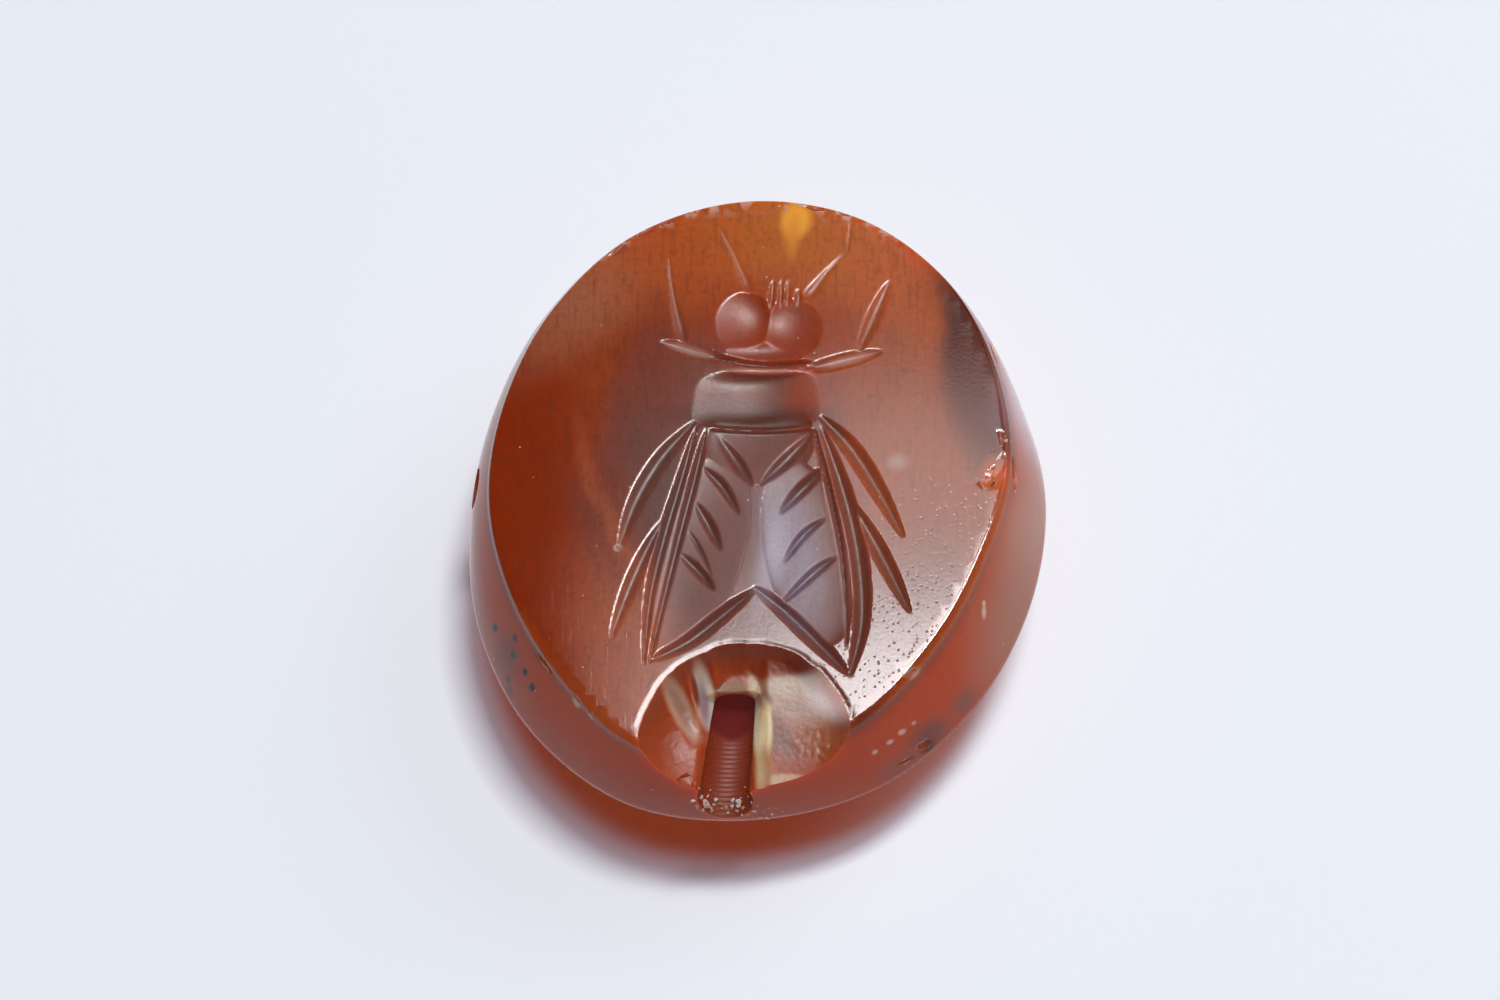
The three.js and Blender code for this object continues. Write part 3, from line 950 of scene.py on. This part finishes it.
def newGroup(name, inputs, outputs):
    group = bpy.data.node_groups.new(name, "ShaderNodeTree")
    for side, sockets in (("INPUT", inputs), ("OUTPUT", outputs)):
        for socketName, kind in sockets:
            group.interface.new_socket(socketName, in_out=side, socket_type="NodeSocket" + kind)
    return group, group.nodes.new("NodeGroupInput").outputs, group.nodes.new("NodeGroupOutput")


def placeGroup(tree, group, inputs):
    return addNode(tree, "Group", inputs, node_tree=group).outputs


def makeSpotGroup():
    # a soft-edged oval: 1 inside, 0 outside
    group, given, result = newGroup(
        "softSpot",
        [("Vector", "Vector"), ("Centre", "Vector"), ("Half", "Vector"), ("Turn", "Float"),
         ("Soft", "Float")], [("Mask", "Float")])
    offset = vectorMaths(group, "SUBTRACT", given["Vector"], given["Centre"])
    turned = addNode(group, "VectorRotate", {"Vector": offset, "Angle": given["Turn"]},
                     rotation_type="Z_AXIS")
    shares = vectorMaths(group, "DIVIDE", turned.outputs[0], given["Half"])
    reach = addNode(group, "VectorMath", {0: shares}, operation="LENGTH").outputs["Value"]
    mask = minus(group, 1.0, ramp(group, reach, minus(group, 1.0, given["Soft"]),
                                  plus(group, 1.0, given["Soft"])))
    setInputs(group, result, {"Mask": mask})
    return group


spotGroup = makeSpotGroup()


def spotMask(tree, vector, start, end, wide, soft, share=1, level=0, deep=40, taper=0):
    # a spot lies between two places on the photo, cast onto the face or a level under it
    start, end = facePoint(*start, level), facePoint(*end, level)
    half = wide * pixelSize / 2
    length = np.linalg.norm(end - start) / 2 + half * (1 - taper)
    mask = placeGroup(tree, spotGroup, {
        "Vector": vector, "Centre": (*(start + end) / 2, faceHeight - level),
        "Half": (length, half, deep), "Turn": -math.atan2(*(end - start)[::-1]), "Soft": soft})
    return times(tree, mask["Mask"], share)


def layColours(tree, vector, colour, spots):
    for start, end, wide, soft, share, level, tint, *more in spots:
        mask = spotMask(tree, vector, start, end, wide, soft, share, level, *more)
        colour = mix(tree, mask, colour, tint)
    return colour


# the stone's colours, as it is banded and clouded, with painted glow, sheen and shade among its spots
stoneColours = {
    "body": (0.34, 0.066, 0.014),
    "bodyDark": (0.28, 0.042, 0.006),
    "wall": (0.46, 0.05, 0.002),
    "wallShare": 0.85,
    "wallStart": (0.3, 0.8),
    "fleck": (0.1, 0.03, 0.02),
    "flecks": 0.3,
    "streaks": (9, 1.2, 1.2),
    "fleckScale": 5.0,
    "fleckStart": (0.45, 0.75),
    "mottleScale": 0.22,
    "mottleStart": (0.35, 0.65),
    "warp": 0.9,
    "warpScale": 0.32,
}
# each spot: its two ends on the photo, width in its pixels, softness, share and level under
# the face, then its colour, and for some how deep it goes and how far it tapers
stoneSpots = [
    ((500, 420), (500, 640), 190, 0.5, 1, 0, (0.26, 0.027, 0.0035)),
    ((560, 320), (650, 236), 80, 0.8, 0.8, 0, (0.38, 0.14, 0.08)),
    ((650, 225), (850, 235), 150, 0.6, 1, 0, (0.46, 0.095, 0.018)),
    ((870, 245), (905, 300), 90, 0.9, 0.8, 0, (0.56, 0.13, 0.03)),
    # painted glow: a broad lighter orange where light shines through the thin stone over the string
    # hole's back end
    ((780, 215), (800, 225), 120, 0.9, 0.7, 0, (0.5, 0.15, 0.016)),
    ((900, 400), (960, 560), 200, 0.8, 0.8, 0, (0.37, 0.09, 0.03)),
    ((728, 480), (760, 640), 240, 0.35, 0.92, 0, (0.17, 0.056, 0.046)),
    ((700, 375), (770, 400), 110, 0.6, 0.75, 0, (0.2, 0.06, 0.04)),
    ((655, 340), (615, 470), 62, 0.45, 0.8, 0, (0.22, 0.05, 0.03)),
    ((640, 440), (665, 520), 60, 0.8, 0.6, 0, (0.12, 0.062, 0.052)),
    ((590, 500), (630, 580), 46, 0.7, 0.6, 0, (0.19, 0.053, 0.038)),
    ((578, 430), (596, 500), 15, 0.7, 0.7, 0, (0.38, 0.08, 0.025)),
    ((598, 500), (640, 575), 15, 0.7, 0.6, 0, (0.38, 0.1, 0.04)),
    ((610, 600), (640, 680), 90, 0.8, 0.75, 0, (0.4, 0.11, 0.055)),
    # painted shade: the thorax's steep right side deeper orange, as it falls out of the light
    ((803, 384), (802, 416), 38, 0.7, 0.75, 0, (0.4, 0.06, 0.015)),
    ((745, 320), (792, 328), 80, 0.7, 0.85, 0, (0.34, 0.045, 0.01)),
    ((972, 290), (1006, 425), 96, 0.4, 0.95, 0, (0.07, 0.009, 0.003)),
    ((925, 290), (938, 370), 26, 0.8, 0.6, 0, (0.48, 0.1, 0.015)),
    ((705, 417), (810, 422), 30, 0.8, 0.8, 0, (0.08, 0.015, 0.008)),
    ((925, 590), (880, 680), 110, 0.8, 0.7, 0, (0.13, 0.03, 0.02)),
    # painted sheen: a pale bluish reflection over the right wing's hollow
    ((783, 515), (800, 590), 56, 0.6, 0.7, 0, (0.2, 0.15, 0.23)),
    ((980, 370), (1002, 425), 80, 0.7, 0.8, 0, (0.14, 0.012, 0.002)),
]
# these stay sharp: the forelegs, collar and wing catch the light, and the yellow spot glows
glowSpots = [
    ((672, 344), (708, 354), 10, 0.4, 0.6, 0, (0.5, 0.25, 0.2)),
    ((828, 364), (866, 354), 10, 0.4, 0.6, 0, (0.55, 0.27, 0.21)),
    ((730, 370), (788, 371), 6, 0.5, 0.6, 0, (0.45, 0.24, 0.2)),
    ((777, 530), (764, 588), 24, 0.8, 0.55, 0, (0.4, 0.36, 0.46)),
    ((798, 200), (793, 236), 30, 0.45, 1, 0, (0.78, 0.37, 0.035), 1.6, 1),
    ((793, 222), (791, 246), 15, 0.8, 0.8, 0, (0.66, 0.26, 0.03), 1.6),
]

# marks on the wall and the rim, and painted reflections on the right wall: place on the photo, size in
# its pixels, softness, share, colour
darkMark = (0.02, 0.024, 0.034)
greyMark = (0.14, 0.08, 0.07)
paleMark = (0.62, 0.5, 0.44)
surfaceSpots = [
    # painted reflection: the right wall lighter and paler, as it reflects the bright surroundings
    ((1020, 405), (50, 120, 80), 0.9, 0.85, (0.64, 0.55, 0.6)),
    ((1030, 530), (70, 130, 90), 0.9, 0.8, (0.46, 0.27, 0.22)),
    ((1012, 620), (90, 140, 90), 0.9, 0.75, (0.36, 0.18, 0.13)),
    ((996, 476), (28, 38, 20), 0.6, 0.85, (0.5, 0.1, 0.01)),
    ((495, 628), (9, 9, 16), 0.4, 1, darkMark),
    ((515, 638), (6, 7, 12), 0.4, 1, darkMark),
    ((513, 655), (7, 8, 14), 0.4, 1, darkMark),
    ((525, 672), (7, 7, 14), 0.4, 1, darkMark),
    ((532, 687), (8, 8, 14), 0.4, 1, darkMark),
    ((508, 680), (6, 7, 14), 0.4, 1, darkMark),
    ((510, 692), (8, 14, 20), 0.4, 0.5, darkMark),
    ((507, 655), (34, 40, 70), 0.9, 0.6, greyMark),
    ((930, 735), (70, 30, 34), 0.8, 0.7, (0.1, 0.05, 0.045)),
    ((965, 702), (34, 26, 26), 0.9, 0.6, greyMark),
    ((900, 765), (70, 26, 26), 0.9, 0.5, greyMark),
    ((927, 747), (20, 14, 14), 0.6, 0.8, (0.03, 0.02, 0.018)),
    ((912, 673), (22, 12, 10), 0.6, 0.85, (0.6, 0.47, 0.3)),
    ((577, 701), (10, 12, 12), 0.6, 0.9, paleMark),
    ((592, 715), (8, 8, 8), 0.6, 0.8, paleMark),
    ((618, 548), (8, 7, 7), 0.6, 1, paleMark),
    ((757, 487), (5, 5, 5), 0.6, 1, paleMark),
    ((897, 462), (17, 14, 14), 0.9, 0.5, (0.45, 0.36, 0.32)),
    ((984, 612), (4, 16, 10), 0.6, 0.7, paleMark),
    ((984, 603), (4, 5, 5), 0.6, 0.7, paleMark),
    ((875, 752), (6, 5, 5), 0.6, 0.7, paleMark),
    ((890, 742), (9, 5, 5), 0.6, 0.7, paleMark),
    ((902, 732), (10, 6, 6), 0.6, 0.7, paleMark),
    ((914, 723), (6, 4, 4), 0.6, 0.6, paleMark),
    ((540, 655), (20, 34, 12), 0.8, 0.6, (0.07, 0.022, 0.014)),
]


def makeStoneColourGroup():
    group, given, result = newGroup("carnelianColour", [("Vector", "Vector")], [("Colour", "Color")])
    vector, look = given["Vector"], stoneColours
    wobble = addNoise(group, vector, look["warpScale"], 2.0)["Color"]
    wobble = vectorMaths(group, "SUBTRACT", wobble, (0.5, 0.5, 0.5))
    wobble = vectorMaths(group, "MULTIPLY", wobble, (look["warp"],) * 3)
    warped = vectorMaths(group, "ADD", vector, wobble)
    mottle = addNoise(group, vector, look["mottleScale"], 5.0)["Fac"]
    colour = mix(group, ramp(group, mottle, *look["mottleStart"]), look["bodyDark"], look["body"])
    colour = layColours(group, warped, colour, stoneSpots)
    # fine dark flecks and faint upright streaks run through it
    for place, scale in ((vector, look["fleckScale"]), (stretch(group, vector, look["streaks"]), 1.0)):
        fleck = ramp(group, addNoise(group, place, scale, 4.0)["Fac"], *look["fleckStart"])
        colour = mix(group, times(group, fleck, look["flecks"]), colour, look["fleck"])
    # the wall shows the stone's own deep orange
    start, end = look["wallStart"]
    wall = ramp(group, axisOf(group, vector, "Z"), faceHeight - start, faceHeight - end)
    colour = mix(group, times(group, wall, look["wallShare"]), colour, look["wall"])
    colour = layColours(group, vector, colour, glowSpots)
    for at, size, soft, share, tint in surfaceSpots:
        half = [side * pixelSize / 2 for side in size]
        mask = placeGroup(group, spotGroup, {
            "Vector": vector, "Centre": findStone(*at)[0], "Half": half, "Soft": soft})["Mask"]
        colour = mix(group, times(group, mask, share), colour, tint)
    setInputs(group, result, {"Colour": colour})
    return group


stoneColourGroup = makeStoneColourGroup()


def startMaterial(material):
    # object coordinates in millimetres
    material.use_nodes = True
    tree = material.node_tree
    place = addNode(tree, "TexCoord").outputs["Object"]
    return tree, tree.nodes["Principled BSDF"], stretch(tree, place, (1 / millimetre,) * 3)


gloss = {
    "IOR": 1.54,
    "Specular IOR Level": 0.31,
    "Subsurface Weight": 1,
    "Subsurface Radius": (1, 0.3, 0.12),
    "Subsurface Scale": 1.3 * millimetre,
}
# how light is tinted as it passes the thick middle, the thin girdle and the wall above it
translucence = {
    "thick": (0.24, 0.032, 0.003),
    "thin": (0.47, 0.42, 0.45),
    "upper": (0.76, 0.74, 0.76),
    "thinFrom": (3.0, 4.5),
    "upperFrom": (4.9, 5.1),
}


def setStoneGloss(tree, shader, vector, roughness):
    setInputs(tree, shader, {"Roughness": roughness, **gloss})
    # some of the light passes through, so the shadow glows orange under the thick middle
    tint, height = translucence["thick"], axisOf(tree, vector, "Z")
    for name in ("thin", "upper"):
        tint = mix(tree, ramp(tree, height, *translucence[name + "From"]), tint, translucence[name])
    light = addNode(tree, "LightPath").outputs["Is Shadow Ray"]
    through = addNode(tree, "BsdfTransparent", {"Color": tint})
    mixed = addNode(tree, "MixShader", {0: light, 1: shader.outputs[0], 2: through.outputs[0]})
    setInputs(tree, tree.nodes["Material Output"], {"Surface": mixed.outputs[0]})


wear = {
    "Pits": {"scale": 6.5, "size": 0.36, "share": 0.5},
    "Dust": {"scale": 1.9, "size": 0.075, "share": 0.3},
    "hair": (15, 0.7, 1),
    "hairStart": (0.6, 0.72),
    "rimScale": 2.6,
    "rimStart": (0.5, 0.6),
}


def makeWearGroup():
    # pinprick pits, dust, hairline scratches and rim wear, each as a mask
    group, given, result = newGroup(
        "stoneWear", [("Vector", "Vector"), ("Rim", "Float")],
        [(name, "Float") for name in ("Pits", "Dust", "Scratches", "Rim")])
    vector, masks = given["Vector"], {}
    for name in ("Pits", "Dust"):
        look = wear[name]
        cells = addNode(group, "TexVoronoi", {"Vector": vector, "Scale": look["scale"]}).outputs
        tone = addNode(group, "SeparateColor", {0: cells["Color"]}).outputs["Red"]
        dot = minus(group, 1.0, ramp(group, cells["Distance"], look["size"] / 2, look["size"]))
        masks[name] = times(group, dot, maths(group, "LESS_THAN", tone, look["share"]))
    hair = addNoise(group, stretch(group, vector, wear["hair"]), 1.0, 4.0)["Fac"]
    masks["Scratches"] = ramp(group, hair, *wear["hairStart"])
    chipping = ramp(group, addNoise(group, vector, wear["rimScale"], 5.0)["Fac"], *wear["rimStart"])
    masks["Rim"] = times(group, chipping, given["Rim"])
    setInputs(group, result, masks)
    return group


wearGroup = makeWearGroup()

polish = {
    "roughness": 0.075,
    "grainScale": 9,
    "grainBump": 0.06,
    "grainDepth": 0.02,
    "cutGrain": 5.0,
    "pitGrain": 3.0,
    "hairGrain": 0.4,
    "satin": 0.34,
    "pitted": 0.4,
    "scratched": 0.14,
    "dust": (0.6, 0.46, 0.4),
    "rimWear": (0.46, 0.27, 0.21),
    "rimOrange": (0.42, 0.085, 0.012),
    "rimGlow": 0.7,
    # where each lies: two ends on the photo, width in its pixels and softness
    "scratchSpot": ((945, 500), (985, 620), 70, 0.6),
    "pitSpot": ((930, 560), (880, 680), 150, 0.5),
    "topSpot": ((620, 225), (880, 215), 110, 0.4),
    "glowRight": ((1005, 480), (905, 690), 70, 0.3),
    "glowLeft": ((525, 635), (645, 735), 70, 0.3),
}


def polishedMaterial(material):
    tree, shader, vector = startMaterial(material)
    cut, rim = [addNode(tree, "Attribute", attribute_name=name).outputs["Fac"]
                for name in ("cut", "rim")]
    pitted, scratched, top, right, left = [
        spotMask(tree, vector, *polish[name])
        for name in ("pitSpot", "scratchSpot", "topSpot", "glowRight", "glowLeft")]
    marks = placeGroup(tree, wearGroup, {"Vector": vector, "Rim": rim})
    colour = placeGroup(tree, stoneColourGroup, {"Vector": vector})["Colour"]
    # light shows orange through parts of the face's edge, and the top edge is worn pale
    glowing = times(tree, rim, maths(tree, "MAXIMUM", right, left), polish["rimGlow"])
    colour = mix(tree, glowing, colour, polish["rimOrange"])
    worn = times(tree, marks["Rim"], top)
    colour = mix(tree, worn, colour, polish["rimWear"])
    # no dust lies in the pitted highlight at the lower right
    dusty = times(tree, marks["Dust"], minus(tree, 1.0, pitted))
    colour = mix(tree, dusty, colour, polish["dust"])
    setStoneGloss(tree, shader, vector, polish["roughness"])
    grain = addNoise(tree, vector, polish["grainScale"], 3.0)["Fac"]
    pits = times(tree, marks["Pits"], pitted)
    # the cuts keep the wheel's satin finish
    rough = plus(tree, times(tree, cut, polish["satin"], plus(tree, grain, 0.5)),
                 times(tree, plus(tree, pits, worn), polish["pitted"]),
                 times(tree, marks["Scratches"], scratched, polish["scratched"]),
                 polish["roughness"])
    setInputs(tree, shader, {"Base Color": colour, "Roughness": rough})
    # the wheel leaves the cuts coarser than the face, which is finely scratched all over
    coarse = plus(tree, times(tree, cut, polish["cutGrain"]), 1.0)
    height = plus(tree, times(tree, grain, coarse), times(tree, pits, -polish["pitGrain"]),
                  times(tree, marks["Scratches"], polish["hairGrain"]))
    addBump(tree, shader, height, polish["grainBump"], polish["grainDepth"])


# weathered chalk-pale and yellow places on the broken surface, with painted light on its right shelf
# and painted shade along the shelf's top
breakSpots = [
    ((778, 694), (845, 700), 44, 0.2, 1, 0.8, (0.56, 0.44, 0.37)),
    ((790, 712), (852, 716), 44, 0.5, 1, 0.95, (0.48, 0.33, 0.29)),
    ((790, 740), (855, 738), 38, 0.8, 1, 1.05, (0.34, 0.09, 0.03)),
    ((772, 728), (785, 745), 24, 0.8, 1, 1.05, (0.28, 0.14, 0.12)),
    ((762, 705), (762, 752), 20, 0.3, 1, 1.1, (1, 0.82, 0.52)),
    ((762, 752), (763, 780), 16, 0.6, 1, 1.2, (0.55, 0.36, 0.19)),
    ((720, 690), (752, 690), 15, 0.5, 1, 1, (0.2, 0.07, 0.02)),
    ((752, 682), (764, 700), 15, 0.5, 1, 1, (0.5, 0.31, 0.2)),
    ((673, 692), (691, 728), 21, 0.3, 1, 1, (0.48, 0.27, 0.18)),
    ((674, 696), (688, 724), 10, 0.6, 1, 1, (0.38, 0.17, 0.13)),
    ((702, 679), (706, 714), 20, 0.3, 1, 1, (0.6, 0.46, 0.36)),
    ((701, 686), (704, 716), 9, 0.6, 1, 1, (0.34, 0.21, 0.24)),
    ((694, 680), (697, 704), 6, 0.5, 1, 1, (0.2, 0.03, 0.006)),
    # painted light: the right end of the shelf lighter, as where it catches the light
    ((826, 694), (848, 706), 30, 0.7, 1, 0.6, (0.9, 0.78, 0.76)),
    ((986, 482), (1001, 480), 32, 0.5, 1, 0.2, (0.52, 0.08, 0.003)),
    ((770, 781), (806, 782), 13, 0.3, 1, 1.3, (0.5, 0.3, 0.19)),
    # painted shade: a dark band along the steep broken wall above the shelf
    ((772, 666), (806, 669), 14, 0.8, 1, 0.6, (0.2, 0.02, 0.002)),
]
breakLook = {
    "roughness": 0.44,
    "deep": (0.3, 0.044, 0.005),
    "tint": 0.75,
    "grainScale": 6.0,
    "bump": 0.4,
    "bumpDepth": 0.05,
}


def brokenMaterial(material):
    tree, shader, vector = startMaterial(material)
    colour = placeGroup(tree, stoneColourGroup, {"Vector": vector})["Colour"]
    colour = mix(tree, breakLook["tint"], colour, breakLook["deep"])
    setInputs(tree, shader, {"Base Color": layColours(tree, vector, colour, breakSpots)})
    setStoneGloss(tree, shader, vector, breakLook["roughness"])
    grain = addNoise(tree, vector, breakLook["grainScale"], 5.0)["Fac"]
    addBump(tree, shader, grain, breakLook["bump"], breakLook["bumpDepth"])


drillLook = {
    "tint": 0.8,
    "deep": (0.2, 0.02, 0.003),
    # painted shadow inside the hole under its roof: its colour and where it lies
    "dark": (0.15, 0.002, 0.0004),
    "roofShadowSpot": ((737, 665), (733, 706), 70, 0.1, 1, 2.3),
    "dull": 0.4,
    # painted shade on the ridges between the drill's rings
    "ridge": 0.7,
    "ridgeStart": (-0.2, 0.8),
    "roughness": 0.55,
}


def drilledMaterial(material):
    tree, shader, vector = startMaterial(material)
    colour = placeGroup(tree, stoneColourGroup, {"Vector": vector})["Colour"]
    colour = mix(tree, drillLook["tint"], colour, drillLook["deep"])
    # the ridges between the drill's rings are darker with painted shade and dull, and so is the hole
    # under its roof, with painted shadow
    waves = times(tree, axisOf(tree, vector, "Y"), 2 * math.pi / stringHole["ringStep"])
    ridge = ramp(tree, maths(tree, "COSINE", waves), *drillLook["ridgeStart"])
    ridge = times(tree, ridge, drillLook["ridge"])
    colour = mix(tree, ridge, colour, drillLook["deep"])
    dark = spotMask(tree, vector, *drillLook["roofShadowSpot"])
    colour = mix(tree, dark, colour, drillLook["dark"])
    setStoneGloss(tree, shader, vector, drillLook["roughness"])
    dull = times(tree, maths(tree, "MAXIMUM", dark, ridge), drillLook["dull"])
    setInputs(tree, shader, {"Base Color": colour,
                             "Roughness": plus(tree, dull, drillLook["roughness"])})


polishedMaterial(stoneMaterials[0])
brokenMaterial(stoneMaterials[1])
drilledMaterial(stoneMaterials[2])
print("stone finished")

soilLook = {
    "dark": (0.09, 0.045, 0.022),
    "light": (0.3, 0.19, 0.09),
    "grain": (0.55, 0.42, 0.25),
    "clodScale": 4.0,
    "clodStart": (0.4, 0.62),
    "sandScale": 7.0,
    "sandStart": (0.12, 0.3),
    "bump": 0.8,
    "bumpDepth": 0.08,
    "surface": {"Roughness": 0.9},
}
crumbColours = {
    "chip": (0.42, 0.17, 0.1),
    "pale": (0.56, 0.5, 0.47),
    "paleStart": (0.2, 0.7),
    "gritScale": 9.0,
    "gritStart": (0.5, 0.75),
    "bump": 0.6,
    "bumpDepth": 0.04,
    "surface": {"Roughness": 0.6, "Subsurface Weight": 0.4, "Subsurface Radius": (1, 0.5, 0.3),
                "Subsurface Scale": 0.1 * millimetre},
}


def soilMaterial(material):
    tree, shader, vector = startMaterial(material)
    clods = addNoise(tree, vector, soilLook["clodScale"], 6.0)["Fac"]
    sand = addNode(tree, "TexVoronoi", {"Vector": vector, "Scale": soilLook["sandScale"]})
    grains = minus(tree, 1.0, ramp(tree, sand.outputs["Distance"], *soilLook["sandStart"]))
    light = ramp(tree, clods, *soilLook["clodStart"])
    colour = mix(tree, light, soilLook["dark"], soilLook["light"])
    colour = mix(tree, grains, colour, soilLook["grain"])
    setInputs(tree, shader, {"Base Color": colour, **soilLook["surface"]})
    addBump(tree, shader, clods, soilLook["bump"], soilLook["bumpDepth"])
    return material


def crumbMaterial(material):
    tree, shader, vector = startMaterial(material)
    tone = addNode(tree, "Attribute", attribute_name="tone").outputs["Fac"]
    look = crumbColours
    grit = addNoise(tree, vector, look["gritScale"], 4.0)["Fac"]
    colour = mix(tree, ramp(tree, tone, *look["paleStart"]), look["chip"], look["pale"])
    colour = mix(tree, ramp(tree, grit, *look["gritStart"]), colour, soilLook["light"])
    setInputs(tree, shader, {"Base Color": colour, **look["surface"]})
    addBump(tree, shader, grit, look["bump"], look["bumpDepth"])
    return material


packedSoil.data.materials.append(soilMaterial(bpy.data.materials.new("crumblySoil")))
mouthCrumbs.data.materials.append(crumbMaterial(bpy.data.materials.new("stoneCrumbs")))
print("soil finished")

# plain pale paper under the stone
paper = {
    "size": 1.6,
    "surface": {"Base Color": (0.84, 0.883, 0.96), "Roughness": 0.9, "Specular IOR Level": 0.1},
}


def makePaper():
    deselectAll()
    bpy.ops.mesh.primitive_plane_add(size=paper["size"])
    floor = bpy.context.object
    floor.name = "paperFloor"
    material = bpy.data.materials.new("palePaper")
    tree, shader, vector = startMaterial(material)
    setInputs(tree, shader, paper["surface"])
    floor.data.materials.append(material)
    print("paper laid")


makePaper()

# the bright card over the stone fades across its width, as cloth does round a lamp
brightPanel = {
    "at": (-15, 86, 308),
    "size": (110, 158),
    "strength": 28.6,
    "brightX": -17,
    "brightY": 70,
    "fadeX": 27,
    "fadeY": 15.5,
    "haze": 0.17,
    "hazeEnd": (137, 110),
    "rest": 0.025,
}
# the main lamp is a strip overhead to the right, narrow enough for a close shadow
mainLamp = {"at": (232, 108, 924), "size": (100, 220), "strength": 117}
sidePanel = {"at": (520, 320, 520), "size": (440, 440), "strength": 1.6}
aimHeight = 0.006


def addPanel(name, look, turned=True):
    data = bpy.data.lights.new(name, "AREA")
    data.shape = "RECTANGLE"
    data.size, data.size_y = [side * millimetre for side in look["size"]]
    # the power that makes the panel's own radiance 1, so its strength sets the rest
    data.energy = math.pi * data.size * data.size_y
    data.use_nodes = True
    data.node_tree.nodes["Emission"].inputs["Strength"].default_value = look["strength"]
    obj = bpy.data.objects.new(name, data)
    obj.location = [side * millimetre for side in look["at"]]
    if turned:
        aim = Vector((0, 0, aimHeight)) - obj.location
        obj.rotation_euler = aim.to_track_quat("-Z", "Y").to_euler()
    scene.collection.objects.link(obj)
    return obj


def makeLamps():
    # the card only shows in the polish, the main lamp lights the stone
    look = brightPanel
    card = addPanel("brightPanel", look, turned=False)
    card.visible_diffuse = False
    tree = card.data.node_tree
    place = addNode(tree, "NewGeometry").outputs["Position"]
    x, y = [times(tree, axisOf(tree, place, axis), 1 / millimetre) for axis in ("X", "Y")]
    shares = []
    for away, fade in ((minus(tree, look["brightX"], x), look["fadeX"]),
                       (minus(tree, y, look["brightY"]), look["fadeY"])):
        away = maths(tree, "MAXIMUM", maths(tree, "DIVIDE", away, fade), 0.0)
        shares.append(maths(tree, "EXPONENT", times(tree, away, away, -1.0)))
    across, down = shares
    glow = plus(tree, times(tree, down, 1 - look["haze"]),
                times(tree, ramp(tree, y, *look["hazeEnd"]), look["haze"]), look["rest"])
    strength = times(tree, glow, across, look["strength"])
    setInputs(tree, tree.nodes["Emission"], {"Strength": strength})
    addPanel("mainLamp", mainLamp)
    addPanel("sidePanel", sidePanel)
    print("lamps placed")


makeLamps()

room = {
    "colour": (0.93, 0.96, 1),
    "camera": 0.9,
    "diffuse": 0.015,
    "glossy": 0.34,
    "horizon": (0.1, 0.6),
}


def makeRoom():
    # pale to the camera, even to the surfaces, dark overhead in reflections
    world = bpy.data.worlds.new("paleRoom")
    scene.world = world
    world.use_nodes = True
    tree = world.node_tree
    light = addNode(tree, "LightPath").outputs
    height = axisOf(tree, addNode(tree, "TexCoord").outputs["Generated"], "Z")
    horizon = minus(tree, 1.0, ramp(tree, height, *room["horizon"]))
    glossy = times(tree, horizon, room["glossy"])
    strength = room["diffuse"]
    for ray, level in (("Is Glossy Ray", glossy), ("Is Camera Ray", room["camera"])):
        strength = addNode(tree, "Mix", {0: light[ray], 2: strength, 3: level}).outputs[0]
    setInputs(tree, tree.nodes["Background"], {"Color": room["colour"], "Strength": strength})
    print("room lit")


makeRoom()
